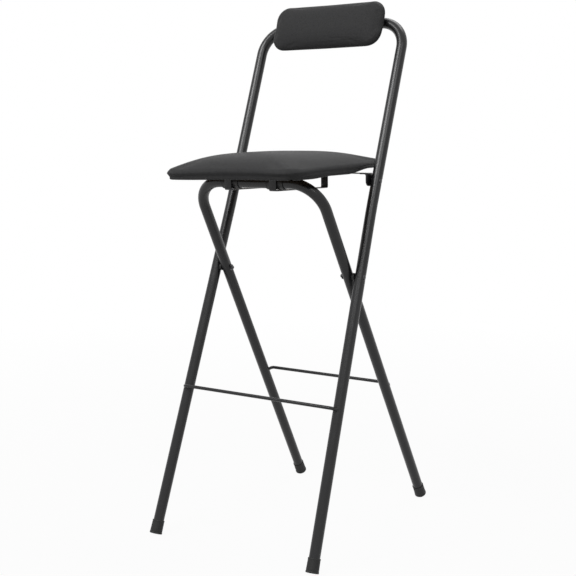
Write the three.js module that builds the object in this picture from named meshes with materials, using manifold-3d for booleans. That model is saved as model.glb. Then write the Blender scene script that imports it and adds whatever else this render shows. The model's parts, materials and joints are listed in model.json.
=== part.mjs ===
// Folding bar stool: an outer back frame and an inner rear frame that cross at two side pivots,
// a padded seat that folds up between the uprights, and a padded backrest on the top bow.
// Millimetres, +Z up, the stool faces -Y, the origin is on the floor below the middle of the stool.
import * as THREE from 'three';
import { mergeVertices } from 'three/addons/utils/BufferGeometryUtils.js';
import Module from 'manifold-3d';

const wasm = await Module();
wasm.setup();

const radians = THREE.MathUtils.degToRad;

// Steel stock
const TUBE_R = 11;
const TUBE_WALL = 1.5;
const ROD_R = 3.5;
const STRIP_T = 2;
const STRAP_T = 2;

// Clearances
const GAP = 0.3;
const OVERRUN = 1;

// Stance of the open stool
const PIVOT_HEIGHT = 545;
const BACK_LEAN = radians(20.5);
const REAR_LEAN = radians(30.9);

// Back frame: lengths are measured along its plane from the side pivots
const BACK_TOP_HALF = 174;
const BACK_FOOT_SPREAD = 17;
const SPLAY_UP = 139;
const SPLAY_BEND_R = 1500;
const BEND_R = 58;
const REAR_BEND_R = 64;
const HINGE_UP = 201;
const BOW_UP = 549;
const FRONT_ROD_DOWN = 267;

// Rear frame: lengths are measured along its plane from the side pivots
const CROSS_PAST_HINGE = 17.5;
const REAR_FLARE = radians(1.23);
const REAR_ROD_DOWN = 306;

// Footrest rods
const ROD_STANDOFF = 22;
const ROD_BEND_R = 11;
const ROD_INSERT = 3;

// Side pivots
const RIVET_R = 3;
const RIVET_HEAD_R = 5;
const RIVET_HEAD_H = 1.5;
const RIVET_DOME = [[1, 0], [0.85, 0.6], [0.45, 0.95], [0, 1]];
const SPACER_L = 5.6;
const SPACER_R = 7.6;
const PRESSED_FLAT = 1.1;
const WASHER_R = 6.5;
const WASHER_T = 1.2;
const RIVET_TAIL = 4;
const RIVET_TAIL_R = 3.5;

// Foot caps
const CAP_WALL = 1.2;
const CAP_RIM = 0.5;
const CAP_RIM_H = 4;
const CAP_L = 28;
const CAP_FLOOR = 5;
const CAP_FLAT = 1;

// Glide sleeves on the cross tube
const GLIDE_WALL = 1.9;
const GLIDE_L = 40;

// Seat hinge strap and slide guides
const HINGE_DROP = 16.3;
const STRAP_W = 16;
const STRAP_BEND_R = 4;
const EAR_GAP = 0.5;
const EAR_BELOW = 10;
const EAR_FORWARD = 22;
const EAR_CORNER_R = 11;
const EAR_NECK = 14;
const GLIDE_TO_BEND = 8;
const GUIDE_W = 16;
const GUIDE_BEND_R = 3;
const GUIDE_FLANGE = 20;
const GUIDE_FLANGE_SCREW = 12;
const GUIDE_REAR_FLANGE = 13;
const GUIDE_REAR_SCREW = 7.5;
const GUIDE_REAR_EXTRA = 3.5;
const GUIDE_STOP_GAP = 0.5;
const STRAP_SCREW_PAST_GUIDE = 32;
const EAR_PIN_HEAD_R = 5.5;
const EAR_PIN_HEAD_H = 2.5;

// Seat
const SEAT_SIDE_GAP = 4;
const SEAT_FRONT = 286;
const SEAT_REAR = 78;
const SEAT_SQUARENESS = 8;
const SEAT_SIDE_H = 18;
const SEAT_PINCH = 3.5;
const SEAT_CROWN = 27;
const SEAT_BOARD_T = 9;

// Backrest
const PAD_SIDE_SHOW = 40.5;
const PAD_HALF_H = 50.5;
const PAD_CORNER_R = 31;
const PAD_BELOW_BOW = 11;
const PAD_SIDE_H = 20;
const PAD_PINCH = 1;
const PAD_CROWN = 10;
const PAD_BOARD_T = 8;
const PAD_SCREW_SPAN = 75;

// Upholstery
const COVER_T = 1.2;
const EDGE_DRAW = 6;
const SHOULDER_DRAW = 8;
const FOOT_DRAW = 1;
const BOARD_INSET = 8;

// Screws
const SCREW_R = 2;
const SCREW_HEAD_R = 4.2;
const SCREW_HEAD_H = 2.4;
const SCREW_BITE = 8;
const BOLT_R = 3;
const BOLT_HEAD_R = 6;
const BOLT_HEAD_H = 3.2;
const BOLT_BITE = 6;
const PAN_HEAD = [[0, 1], [0.7, 1], [1, 0.4], [1, 0]];

// Mesh fineness, in counts
const TUBE_SIDES = 20;
const ROD_SIDES = 12;
const ROUND_SIDES = 20;
const SMALL_SIDES = 12;
const BEND_STEPS = 10;
const SPLAY_STEPS = 4;
const SMALL_BEND_STEPS = 4;
const ROD_BEND_STEPS = 6;
const PLAN_POINTS = 44;

// Layout worked out from the sizes above
const CROSS_UP = HINGE_UP + CROSS_PAST_HINGE;
const pivot = new THREE.Vector2(0, PIVOT_HEIGHT);
const hinge = new THREE.Vector2(Math.sin(BACK_LEAN), Math.cos(BACK_LEAN)).multiplyScalar(HINGE_UP).add(pivot);
const cross = new THREE.Vector2(-Math.sin(REAR_LEAN), Math.cos(REAR_LEAN)).multiplyScalar(CROSS_UP).add(pivot);

const BACK_FOOT_HALF = BACK_TOP_HALF + BACK_FOOT_SPREAD;
const CAP_R = TUBE_R + GAP + CAP_WALL;
const SOLE_R = CAP_R + CAP_RIM;
const soleHeight = (lean) => SOLE_R * Math.sin(lean) - CAP_FLAT;
const soleBelowPivot = (lean) => (PIVOT_HEIGHT - soleHeight(lean)) / Math.cos(lean);
const BACK_SOLE = soleBelowPivot(BACK_LEAN);
const REAR_SOLE = soleBelowPivot(REAR_LEAN);

const backSpread = BACK_FOOT_SPREAD / (SPLAY_UP + BACK_SOLE);
const backHalf = (up) => BACK_TOP_HALF + backSpread * Math.max(SPLAY_UP - up, 0);
const REAR_PIVOT_HALF = backHalf(0) - 2 * TUBE_R - SPACER_L;
const rearHalf = (up) => REAR_PIVOT_HALF - up * Math.tan(REAR_FLARE);
const GUIDE_HALF_SPAN = rearHalf(CROSS_UP) - REAR_BEND_R - GLIDE_L / 2 - GLIDE_TO_BEND;

const SEAT_HALF_W = BACK_TOP_HALF - TUBE_R - SEAT_SIDE_GAP;
const PAD_HALF_W = BACK_TOP_HALF - PAD_SIDE_SHOW;
const GLIDE_R = TUBE_R + GAP + GLIDE_WALL;
const CROSS_RISE = HINGE_DROP - GLIDE_R - GAP;
const HINGE_TO_CROSS = hinge.distanceTo(cross);
const CROSS_AHEAD = Math.sqrt(HINGE_TO_CROSS ** 2 - CROSS_RISE ** 2);
const CROSS_AHEAD_FOLDED = Math.sqrt(CROSS_UP ** 2 - CROSS_RISE ** 2) - HINGE_UP;
const SEAT_TILT = Math.asin(CROSS_RISE / HINGE_TO_CROSS) - Math.atan2(cross.y - hinge.y, hinge.x - cross.x);

const frontMost = pivot.x - BACK_SOLE * Math.sin(BACK_LEAN) - SOLE_R * Math.cos(BACK_LEAN);
const rearMost = pivot.x + REAR_SOLE * Math.sin(REAR_LEAN) + SOLE_R * Math.cos(REAR_LEAN);
const MIDDLE = (frontMost + rearMost) / 2;

// Materials
const coatedSteel = () => new THREE.MeshStandardMaterial({ color: 0x2b2b2d, roughness: 0.42, metalness: 0.6 });
const zincSteel = () => new THREE.MeshStandardMaterial({ color: 0x55565a, roughness: 0.4, metalness: 0.9 });
const blackPlastic = () => new THREE.MeshStandardMaterial({ color: 0x1a1a1b, roughness: 0.6, metalness: 0 });
const vinyl = () => new THREE.MeshStandardMaterial({ color: 0x2e2e30, roughness: 0.55, metalness: 0 });
const foam = () => new THREE.MeshStandardMaterial({ color: 0xc9b98f, roughness: 0.95, metalness: 0 });
const plywood = () => new THREE.MeshStandardMaterial({ color: 0xb08d5b, roughness: 0.8, metalness: 0 });

// Solids and cuts
function toManifold(geometry) {
  const plain = geometry.clone();
  plain.deleteAttribute('normal');
  plain.deleteAttribute('uv');
  const merged = mergeVertices(plain);
  return new wasm.Manifold(new wasm.Mesh({
    numProp: 3,
    vertProperties: new Float32Array(merged.attributes.position.array),
    triVerts: new Uint32Array(merged.index.array),
  }));
}

function toGeometry(manifold) {
  const mesh = manifold.getMesh();
  const geometry = new THREE.BufferGeometry();
  const points = new Float32Array(mesh.vertProperties);
  geometry.setAttribute('position', new THREE.BufferAttribute(points, mesh.numProp));
  geometry.setIndex(new THREE.BufferAttribute(new Uint32Array(mesh.triVerts), 1));
  geometry.computeVertexNormals();
  return geometry;
}

function cut(geometry, ...tools) {
  let solid = toManifold(geometry);
  for (const tool of tools) {
    solid = solid.subtract(toManifold(tool));
  }
  return toGeometry(solid);
}

function common(geometry, tool) {
  return toGeometry(toManifold(geometry).intersect(toManifold(tool)));
}

// A round bar along one axis, from one place on it to another
function bar(axis, radius, from, to, sides = SMALL_SIDES) {
  const geometry = new THREE.CylinderGeometry(radius, radius, Math.abs(to - from), sides);
  const middle = (from + to) / 2;
  if (axis === 'x') {
    geometry.rotateZ(-Math.PI / 2).translate(middle, 0, 0);
  } else if (axis === 'y') {
    geometry.translate(0, middle, 0);
  } else {
    geometry.rotateX(Math.PI / 2).translate(0, 0, middle);
  }
  return geometry;
}

// A revolved solid about one axis, from profile points of radius and height
function turned(axis, profile, sides = ROUND_SIDES) {
  const geometry = new THREE.LatheGeometry(profile.map(([r, h]) => new THREE.Vector2(r, h)), sides);
  if (axis === 'x') {
    geometry.rotateZ(-Math.PI / 2);
  } else if (axis === 'z') {
    geometry.rotateX(Math.PI / 2);
  }
  return geometry;
}

// A polyline with rounded corners, as lines and arcs with a step count each
function roundedRoute(corners, radii, steps) {
  const pieces = [];
  let start = corners[0];
  for (let i = 1; i < corners.length - 1; i += 1) {
    const into = corners[i].clone().sub(corners[i - 1]).normalize();
    const out = corners[i + 1].clone().sub(corners[i]).normalize();
    const turn = Math.atan2(into.cross(out), into.dot(out));
    const radius = radii[i - 1];
    const setback = radius * Math.tan(Math.abs(turn) / 2);
    const a = corners[i].clone().addScaledVector(into, -setback);
    const side = Math.sign(turn);
    const centre = a.clone().add(new THREE.Vector2(-into.y, into.x).multiplyScalar(side * radius));
    const from = Math.atan2(a.y - centre.y, a.x - centre.x);
    pieces.push({ curve: new THREE.LineCurve(start, a), steps: 1 });
    pieces.push({
      curve: new THREE.EllipseCurve(centre.x, centre.y, radius, radius, from, from + turn, turn < 0),
      steps: steps[i - 1],
    });
    start = corners[i].clone().addScaledVector(out, setback);
  }
  pieces.push({ curve: new THREE.LineCurve(start, corners[corners.length - 1]), steps: 1 });
  return pieces;
}

// A route through space whose straight runs take one step and whose bends take several
class BentRoute extends THREE.Curve {
  constructor(pieces, place) {
    super();
    this.place = place;
    this.stops = pieces.flatMap((piece) => Array.from({ length: piece.steps }, (_, k) => ({
      curve: piece.curve,
      from: k / piece.steps,
      span: 1 / piece.steps,
    })));
  }

  getUtoTmapping(u) {
    return u;
  }

  getPoint(t, target = new THREE.Vector3()) {
    const scaled = Math.min(Math.max(t, 0), 1) * this.stops.length;
    const index = Math.min(Math.floor(scaled), this.stops.length - 1);
    const stop = this.stops[index];
    const flat = stop.curve.getPoint(stop.from + stop.span * (scaled - index));
    return target.copy(this.place(flat));
  }
}

function bentBar(route, radius, sides, boreRadius = 0) {
  const section = new THREE.Shape();
  section.absarc(0, 0, radius, 0, 2 * Math.PI);
  if (boreRadius > 0) {
    const bore = new THREE.Path();
    bore.absarc(0, 0, boreRadius, 0, 2 * Math.PI, true);
    section.holes.push(bore);
  }
  return new THREE.ExtrudeGeometry(section, {
    steps: route.stops.length,
    curveSegments: sides / 2,
    extrudePath: route,
  });
}

// The outline of a bent strip of even thickness, from its centre line
function stripShape(pieces, thickness) {
  const centre = [];
  const normals = [];
  pieces.forEach((piece, i) => {
    const first = i === 0 ? 0 : 1;
    for (let k = first; k <= piece.steps; k += 1) {
      const tangent = piece.curve.getTangent(k / piece.steps);
      centre.push(piece.curve.getPoint(k / piece.steps));
      normals.push(new THREE.Vector2(-tangent.y, tangent.x));
    }
  });
  const left = centre.map((p, i) => p.clone().addScaledVector(normals[i], thickness / 2));
  const right = centre.map((p, i) => p.clone().addScaledVector(normals[i], -thickness / 2));
  return new THREE.Shape([...left, ...right.reverse()]);
}

// A closed skin through rings of points, with a point at each end
function ringSolid(rings, first, last) {
  const points = [first, ...rings.flat(), last];
  const count = rings[0].length;
  const end = points.length - 1;
  const faces = [];
  const at = (ring, k) => 1 + ring * count + (k % count);
  for (let k = 0; k < count; k += 1) {
    faces.push(0, at(0, k + 1), at(0, k));
    for (let ring = 0; ring < rings.length - 1; ring += 1) {
      faces.push(at(ring, k), at(ring, k + 1), at(ring + 1, k + 1));
      faces.push(at(ring, k), at(ring + 1, k + 1), at(ring + 1, k));
    }
    faces.push(at(rings.length - 1, k), at(rings.length - 1, k + 1), end);
  }
  const geometry = new THREE.BufferGeometry().setFromPoints(points);
  geometry.setIndex(faces);
  geometry.computeVertexNormals();
  return geometry;
}

// Plans of the two pads, as a centre, corner points and outward normals
function squircle(halfWidth, halfDepth, squareness) {
  const power = 2 / squareness;
  const bend = (value) => Math.sign(value) * Math.abs(value) ** power;
  return Array.from({ length: PLAN_POINTS }, (_, k) => {
    const angle = 2 * Math.PI * (k + 0.5) / PLAN_POINTS;
    return new THREE.Vector2(halfWidth * bend(Math.cos(angle)), halfDepth * bend(Math.sin(angle)));
  });
}

function roundedPlan(halfWidth, halfHeight, radius) {
  const perCorner = PLAN_POINTS / 4;
  const points = [];
  const corners = [[1, 1], [-1, 1], [-1, -1], [1, -1]];
  corners.forEach(([sx, sy], corner) => {
    for (let k = 0; k < perCorner; k += 1) {
      const angle = (corner + k / (perCorner - 1)) * Math.PI / 2;
      points.push(new THREE.Vector2(
        sx * (halfWidth - radius) + radius * Math.cos(angle),
        sy * (halfHeight - radius) + radius * Math.sin(angle),
      ));
    }
  });
  return points;
}

function outwards(plan) {
  return plan.map((_, k) => {
    const before = plan[(k + plan.length - 1) % plan.length];
    const after = plan[(k + 1) % plan.length];
    return new THREE.Vector2(after.y - before.y, before.x - after.x).normalize();
  });
}

// How near each point of a plan is to a corner, from 0 at the middle of a side to 1
function cornerness(plan) {
  const [halfWidth, halfDepth] = ['x', 'y'].map((key) => Math.max(...plan.map((p) => p[key])));
  const raw = plan.map((p) => Math.abs(p.x / halfWidth * p.y / halfDepth) ** CORNER_POWER);
  const largest = Math.max(...raw);
  return raw.map((value) => value / largest);
}

// One ring of a pad: the plan drawn in by an inset, shrunk to a share, set at a height and sunk at its corners
function padRing(plan, inset, share, height, sink = 0) {
  const normals = outwards(plan);
  const corner = cornerness(plan);
  return plan.map((p, k) => {
    const q = p.clone().addScaledVector(normals[k], -inset).multiplyScalar(share);
    return new THREE.Vector3(q.x, q.y, height - sink * corner[k]);
  });
}

// Heights of a crowned pad: drawn-in foot, full waist, rolled shoulder and crown
const SIDE_SHARES = [[1, 0], [0.45, 0.2], [0.1, 0.45], [0.05, 0.7], [0.5, 0.92]];
const CROWN_SHARES = [0.9, 0.76, 0.6, 0.42, 0.22];
const CROWN_POWER = 3;
const CORNER_POWER = 4;

function padLevels(plan, foot, { sideHeight, crown, pinch }, skin) {
  const rings = SIDE_SHARES.map(([draw, rise]) => (
    padRing(plan, EDGE_DRAW * draw + skin, 1, foot + (sideHeight - skin) * rise, pinch * rise)
  ));
  const shoulder = SHOULDER_DRAW + skin;
  CROWN_SHARES.forEach((share) => {
    const height = foot + sideHeight - skin + crown * (1 - share ** CROWN_POWER);
    rings.push(padRing(plan, shoulder, share, height, pinch * share ** CORNER_POWER));
  });
  return { rings, top: new THREE.Vector3(0, 0, foot + sideHeight - skin + crown) };
}

function padCover(plan, foot, form) {
  const outer = padLevels(plan, foot, form, 0);
  const inner = padLevels(plan, foot, form, COVER_T);
  return ringSolid([...inner.rings.reverse(), ...outer.rings], inner.top, outer.top);
}

function padFoam(plan, foot, boardThickness, form) {
  const levels = padLevels(plan, foot, form, COVER_T + GAP);
  const seat = foot + boardThickness + GAP;
  const rings = levels.rings.filter((ring) => Math.min(...ring.map((p) => p.z)) > seat);
  const base = padRing(plan, FOOT_DRAW + COVER_T + GAP, 1, seat);
  return ringSolid([base, ...rings], new THREE.Vector3(0, 0, seat), levels.top);
}

function boardShape(plan) {
  const normals = outwards(plan);
  return new THREE.Shape(plan.map((p, k) => p.clone().addScaledVector(normals[k], -BOARD_INSET)));
}

// Parts list
const stool = new THREE.Group();
const backFrame = new THREE.Group();
const rearFrame = new THREE.Group();
const seat = new THREE.Group();
const glides = new THREE.Group();
stool.add(backFrame, rearFrame, seat, glides);

const inStool = (v) => new THREE.Vector3(0, v.x - MIDDLE, v.y);
backFrame.position.copy(inStool(pivot));
backFrame.rotation.x = -BACK_LEAN;
rearFrame.position.copy(inStool(pivot));
rearFrame.rotation.x = REAR_LEAN;
seat.position.copy(inStool(hinge));
seat.rotation.x = SEAT_TILT;
glides.position.copy(inStool(cross));
glides.rotation.x = SEAT_TILT;

function put(group, name, geometry, material) {
  const mesh = new THREE.Mesh(geometry, material);
  mesh.name = name;
  group.add(mesh);
  return mesh;
}

const SIDES = [['left', -1], ['right', 1]];

// Back frame
function backFrameTube() {
  const foot = CAP_FLOOR + GAP - BACK_SOLE;
  const corner = (side, half, up) => new THREE.Vector2(side * half, up);
  const route = new BentRoute(roundedRoute([
    corner(-1, backHalf(foot), foot),
    corner(-1, BACK_TOP_HALF, SPLAY_UP),
    corner(-1, BACK_TOP_HALF, BOW_UP),
    corner(1, BACK_TOP_HALF, BOW_UP),
    corner(1, BACK_TOP_HALF, SPLAY_UP),
    corner(1, backHalf(foot), foot),
  ], [SPLAY_BEND_R, BEND_R, BEND_R, SPLAY_BEND_R], [SPLAY_STEPS, BEND_STEPS, BEND_STEPS, SPLAY_STEPS]), inFrame);
  const reach = Math.max(BACK_FOOT_HALF, BACK_TOP_HALF) + TUBE_R + OVERRUN;
  const tools = [
    bar('x', RIVET_R + GAP, -reach, reach),
    bar('x', RIVET_R + GAP, -reach, reach).translate(0, 0, HINGE_UP),
  ];
  for (const [, side] of SIDES) {
    for (const up of [0, HINGE_UP]) {
      const flat = side * (backHalf(up) + TUBE_R - PRESSED_FLAT);
      tools.push(bar('x', RIVET_HEAD_R + GAP, flat, side * reach).translate(0, 0, up));
    }
    const through = TUBE_R + OVERRUN;
    const boltHole = bar('y', BOLT_R + GAP, -through, through);
    tools.push(rodHole(side * backHalf(-FRONT_ROD_DOWN), -FRONT_ROD_DOWN, -1));
    tools.push(boltHole.translate(side * PAD_SCREW_SPAN, 0, BOW_UP));
  }
  return cut(bentBar(route, TUBE_R, TUBE_SIDES, TUBE_R - TUBE_WALL), ...tools);
}

function inFrame(v) {
  return new THREE.Vector3(v.x, 0, v.y);
}

function rodHole(x, up, face) {
  return bar('y', ROD_R + GAP, 0, face * (TUBE_R + OVERRUN)).translate(x, 0, up);
}

// A footrest rod across the front (-1) or back (1) of a frame, its ends turned into the tubes
function footrestRod(half, face) {
  const end = face * (TUBE_R - TUBE_WALL - ROD_INSERT);
  const out = face * ROD_STANDOFF;
  const pieces = roundedRoute([
    new THREE.Vector2(-half, end),
    new THREE.Vector2(-half, out),
    new THREE.Vector2(half, out),
    new THREE.Vector2(half, end),
  ], [ROD_BEND_R, ROD_BEND_R], [ROD_BEND_STEPS, ROD_BEND_STEPS]);
  return bentBar(new BentRoute(pieces, (v) => new THREE.Vector3(v.x, v.y, 0)), ROD_R, ROD_SIDES);
}

// A rubber cap: a cup with a rim round its sole, which stands on a narrow level flat
function footCap() {
  return turned('z', [
    [0, 0],
    [SOLE_R, 0],
    [SOLE_R, CAP_RIM_H],
    [CAP_R, CAP_RIM_H + CAP_RIM],
    [CAP_R - CAP_RIM, CAP_L],
    [TUBE_R + GAP, CAP_L],
    [TUBE_R + GAP, CAP_FLOOR],
    [0, CAP_FLOOR],
  ]);
}

function addFootCap(frame, name, half, sole, flare) {
  const cap = put(frame, name, footCap(), blackPlastic());
  cap.position.set(half, 0, -sole);
  cap.rotation.y = -flare;
  stool.updateMatrixWorld(true);
  const foot = cap.getWorldPosition(new THREE.Vector3());
  const floor = new THREE.BoxGeometry(2 * CAP_L, 2 * CAP_L, CAP_L).translate(foot.x, foot.y, -CAP_L / 2);
  floor.applyMatrix4(cap.matrixWorld.clone().invert());
  cap.geometry = cut(cap.geometry, floor);
}

// A domed rivet along X: head outside at zero, shank inwards
function rivet(length, tailRadius, tailLength) {
  return turned('x', [
    [0, -length - tailLength],
    [tailRadius, -length - tailLength],
    [tailRadius, -length],
    [RIVET_R, -length],
    [RIVET_R, 0],
    ...RIVET_DOME.map(([out, up]) => [RIVET_HEAD_R * out, RIVET_HEAD_H * up]),
  ]);
}

function ring(axis, inner, outer, from, to) {
  return turned(axis, [[inner, from], [outer, from], [outer, to], [inner, to], [inner, from]]);
}

// A pan-headed pin along one axis: shank upwards from zero, head below
function headedPin(axis, shankRadius, shankLength, headRadius, headHeight) {
  return turned(axis, [
    ...PAN_HEAD.map(([out, down]) => [headRadius * out, -headHeight * down]),
    [shankRadius, 0],
    [shankRadius, shankLength],
    [0, shankLength],
  ], SMALL_SIDES);
}

function mirrored(mesh, side) {
  mesh.rotation.z = side > 0 ? 0 : Math.PI;
  return mesh;
}

put(backFrame, 'back_frame_tube', backFrameTube(), coatedSteel());
const frontRodHalf = backHalf(-FRONT_ROD_DOWN);
const frontRod = put(backFrame, 'front_footrest_rod', footrestRod(frontRodHalf, -1), coatedSteel());
frontRod.position.z = -FRONT_ROD_DOWN;

for (const [name, side] of SIDES) {
  const flare = side * Math.atan(backSpread);
  addFootCap(backFrame, `foot_cap_front_${name}`, side * BACK_FOOT_HALF, BACK_SOLE, flare);
  const headAt = backHalf(0) + TUBE_R - PRESSED_FLAT;
  const grip = headAt - (REAR_PIVOT_HALF - TUBE_R) + GAP + WASHER_T + GAP;
  const pin = put(backFrame, `pivot_rivet_${name}`, rivet(grip, RIVET_TAIL_R, RIVET_TAIL), zincSteel());
  mirrored(pin, side).position.x = side * (headAt + GAP);
  const spacer = put(backFrame, `pivot_spacer_${name}`, pivotSpacer(), blackPlastic());
  mirrored(spacer, side).position.x = side * (REAR_PIVOT_HALF + TUBE_R);
  const hingeHeadAt = BACK_TOP_HALF + TUBE_R - PRESSED_FLAT;
  const hingePin = put(backFrame, `seat_hinge_rivet_${name}`, hingeRivet(), zincSteel());
  mirrored(hingePin, side).position.set(side * (hingeHeadAt + GAP), 0, HINGE_UP);
}

function pivotSpacer() {
  return ring('x', RIVET_R + GAP, SPACER_R, GAP, SPACER_L - GAP);
}

function hingeRivet() {
  const length = 2 * TUBE_R - PRESSED_FLAT + GAP;
  return rivet(length - RIVET_R, RIVET_R, RIVET_R);
}

// Rear frame
function rearFrameTube() {
  const foot = CAP_FLOOR + GAP - REAR_SOLE;
  const route = new BentRoute(roundedRoute([
    new THREE.Vector2(-rearHalf(foot), foot),
    new THREE.Vector2(-rearHalf(CROSS_UP), CROSS_UP),
    new THREE.Vector2(rearHalf(CROSS_UP), CROSS_UP),
    new THREE.Vector2(rearHalf(foot), foot),
  ], [REAR_BEND_R, REAR_BEND_R], [BEND_STEPS, BEND_STEPS]), inFrame);
  const reach = Math.max(BACK_FOOT_HALF, BACK_TOP_HALF) + TUBE_R + OVERRUN;
  const holes = [bar('x', RIVET_R + GAP, -reach, reach)];
  for (const [, side] of SIDES) {
    holes.push(rodHole(side * rearHalf(-REAR_ROD_DOWN), -REAR_ROD_DOWN, 1));
  }
  return cut(bentBar(route, TUBE_R, TUBE_SIDES, TUBE_R - TUBE_WALL), ...holes);
}

put(rearFrame, 'rear_frame_tube', rearFrameTube(), coatedSteel());
const rearRod = put(rearFrame, 'rear_footrest_rod', footrestRod(rearHalf(-REAR_ROD_DOWN), 1), coatedSteel());
rearRod.position.z = -REAR_ROD_DOWN;
for (const [name, side] of SIDES) {
  addFootCap(rearFrame, `foot_cap_rear_${name}`, side * rearHalf(-REAR_SOLE), REAR_SOLE, side * REAR_FLARE);
  const washer = put(rearFrame, `pivot_washer_${name}`, pivotWasher(), zincSteel());
  mirrored(washer, side).position.x = side * (REAR_PIVOT_HALF - TUBE_R - GAP);
}

function pivotWasher() {
  return ring('x', RIVET_R + GAP, WASHER_R, -WASHER_T, 0);
}

// Glide sleeves on the cross tube
for (const [name, side] of SIDES) {
  const sleeve = put(glides, `glide_sleeve_${name}`, glideSleeve(), blackPlastic());
  sleeve.position.x = side * GUIDE_HALF_SPAN;
}

function glideSleeve() {
  return ring('x', TUBE_R + GAP, GLIDE_R, -GLIDE_L / 2, GLIDE_L / 2);
}

// Seat: places under it are measured back (+) and forward (-) of the hinge, and above it
const strapUnder = HINGE_DROP - GAP - STRAP_T;
const rearFlangeUnder = strapUnder - GAP - STRIP_T;
const frontFlangeUnder = HINGE_DROP - GAP - STRIP_T;
const rearLegAt = GLIDE_R + GUIDE_STOP_GAP - CROSS_AHEAD_FOLDED + STRIP_T / 2;
const frontLegAt = -(CROSS_AHEAD + GLIDE_R + GUIDE_STOP_GAP + STRIP_T / 2);
const rearScrewAt = rearLegAt + GUIDE_REAR_SCREW;
const frontScrewAt = frontLegAt - GUIDE_FLANGE_SCREW;
const seatMiddle = (SEAT_REAR - SEAT_FRONT) / 2;
const seatForm = { sideHeight: SEAT_SIDE_H, crown: SEAT_CROWN, pinch: SEAT_PINCH };
const seatPlan = squircle(SEAT_HALF_W, (SEAT_REAR + SEAT_FRONT) / 2, SEAT_SQUARENESS);

const strapScrewSpan = GUIDE_HALF_SPAN + STRAP_SCREW_PAST_GUIDE;
const strapScrews = SIDES.flatMap(([name, side]) => [
  { name: `hinge_strap_screw_${name}`, x: side * strapScrewSpan, y: 0, under: strapUnder },
  { name: `guide_rear_screw_${name}`, x: side * GUIDE_HALF_SPAN, y: rearScrewAt, under: rearFlangeUnder },
]);
const frontScrews = SIDES.map(([name, side]) => (
  { name: `guide_front_screw_${name}`, x: side * GUIDE_HALF_SPAN, y: frontScrewAt, under: frontFlangeUnder }
));
const seatScrews = [...strapScrews, ...frontScrews];

function seatBoard() {
  const board = new THREE.ExtrudeGeometry(boardShape(seatPlan), { depth: SEAT_BOARD_T, bevelEnabled: false });
  board.translate(0, seatMiddle, HINGE_DROP);
  const pilots = seatScrews.map((place) => (
    bar('z', SCREW_R + GAP, HINGE_DROP - OVERRUN, HINGE_DROP + SCREW_BITE + GAP).translate(place.x, place.y, 0)
  ));
  return cut(board, ...pilots);
}

function hingeStrap() {
  const half = STRAP_W / 2;
  const out = BACK_TOP_HALF - TUBE_R - EAR_GAP - STRAP_T / 2;
  const top = strapUnder + STRAP_T / 2;
  const pieces = roundedRoute([
    new THREE.Vector2(-out, -EAR_BELOW),
    new THREE.Vector2(-out, top),
    new THREE.Vector2(out, top),
    new THREE.Vector2(out, -EAR_BELOW),
  ], [STRAP_BEND_R, STRAP_BEND_R], [SMALL_BEND_STEPS, SMALL_BEND_STEPS]);
  const strap = new THREE.ExtrudeGeometry(stripShape(pieces, STRAP_T), {
    depth: EAR_FORWARD + half,
    bevelEnabled: false,
  });
  strap.rotateX(Math.PI / 2).translate(0, half, 0);

  const side = new THREE.Shape();
  side.moveTo(half, HINGE_DROP);
  side.lineTo(-EAR_FORWARD, HINGE_DROP);
  side.lineTo(-EAR_FORWARD, EAR_CORNER_R - EAR_BELOW);
  side.absarc(EAR_CORNER_R - EAR_FORWARD, EAR_CORNER_R - EAR_BELOW, EAR_CORNER_R, Math.PI, Math.PI * 3 / 2);
  side.absarc(0, half - EAR_BELOW, half, Math.PI * 3 / 2, 2 * Math.PI);
  const mask = new THREE.ExtrudeGeometry(side, { depth: 2 * BACK_TOP_HALF, bevelEnabled: false });
  sideways(mask).translate(-BACK_TOP_HALF, 0, 0);

  const neck = new THREE.BoxGeometry(2 * (out - EAR_NECK), EAR_FORWARD, HINGE_DROP);
  neck.translate(0, -half - EAR_FORWARD / 2, HINGE_DROP / 2);
  const cuts = [neck, bar('x', RIVET_R + GAP, -BACK_TOP_HALF, BACK_TOP_HALF)];
  for (const place of strapScrews) {
    cuts.push(bar('z', SCREW_R + GAP, strapUnder - OVERRUN, HINGE_DROP).translate(place.x, place.y, 0));
  }
  return cut(common(strap, mask), ...cuts);
}

// Turns a profile drawn as back-and-up so that it is extruded along X
function sideways(geometry) {
  return geometry.rotateX(Math.PI / 2).rotateZ(Math.PI / 2);
}

function slideGuide() {
  const floorFront = CROSS_RISE - GLIDE_R - GAP - STRIP_T / 2;
  const rearTop = rearFlangeUnder + STRIP_T / 2;
  const frontTop = frontFlangeUnder + STRIP_T / 2;
  const pieces = roundedRoute([
    new THREE.Vector2(rearLegAt + GUIDE_REAR_FLANGE, rearTop),
    new THREE.Vector2(rearLegAt, rearTop),
    new THREE.Vector2(rearLegAt, floorFront - GUIDE_REAR_EXTRA),
    new THREE.Vector2(frontLegAt, floorFront),
    new THREE.Vector2(frontLegAt, frontTop),
    new THREE.Vector2(frontLegAt - GUIDE_FLANGE, frontTop),
  ], Array(4).fill(GUIDE_BEND_R), Array(4).fill(SMALL_BEND_STEPS));
  const guide = new THREE.ExtrudeGeometry(stripShape(pieces, STRIP_T), { depth: GUIDE_W, bevelEnabled: false });
  sideways(guide).translate(-GUIDE_W / 2, 0, 0);
  const hole = (y) => bar('z', SCREW_R + GAP, 0, HINGE_DROP).translate(0, y, 0);
  return cut(guide, hole(rearScrewAt), hole(frontScrewAt));
}

function earPin() {
  return headedPin('x', RIVET_R, STRAP_T + GAP, EAR_PIN_HEAD_R, EAR_PIN_HEAD_H);
}

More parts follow.
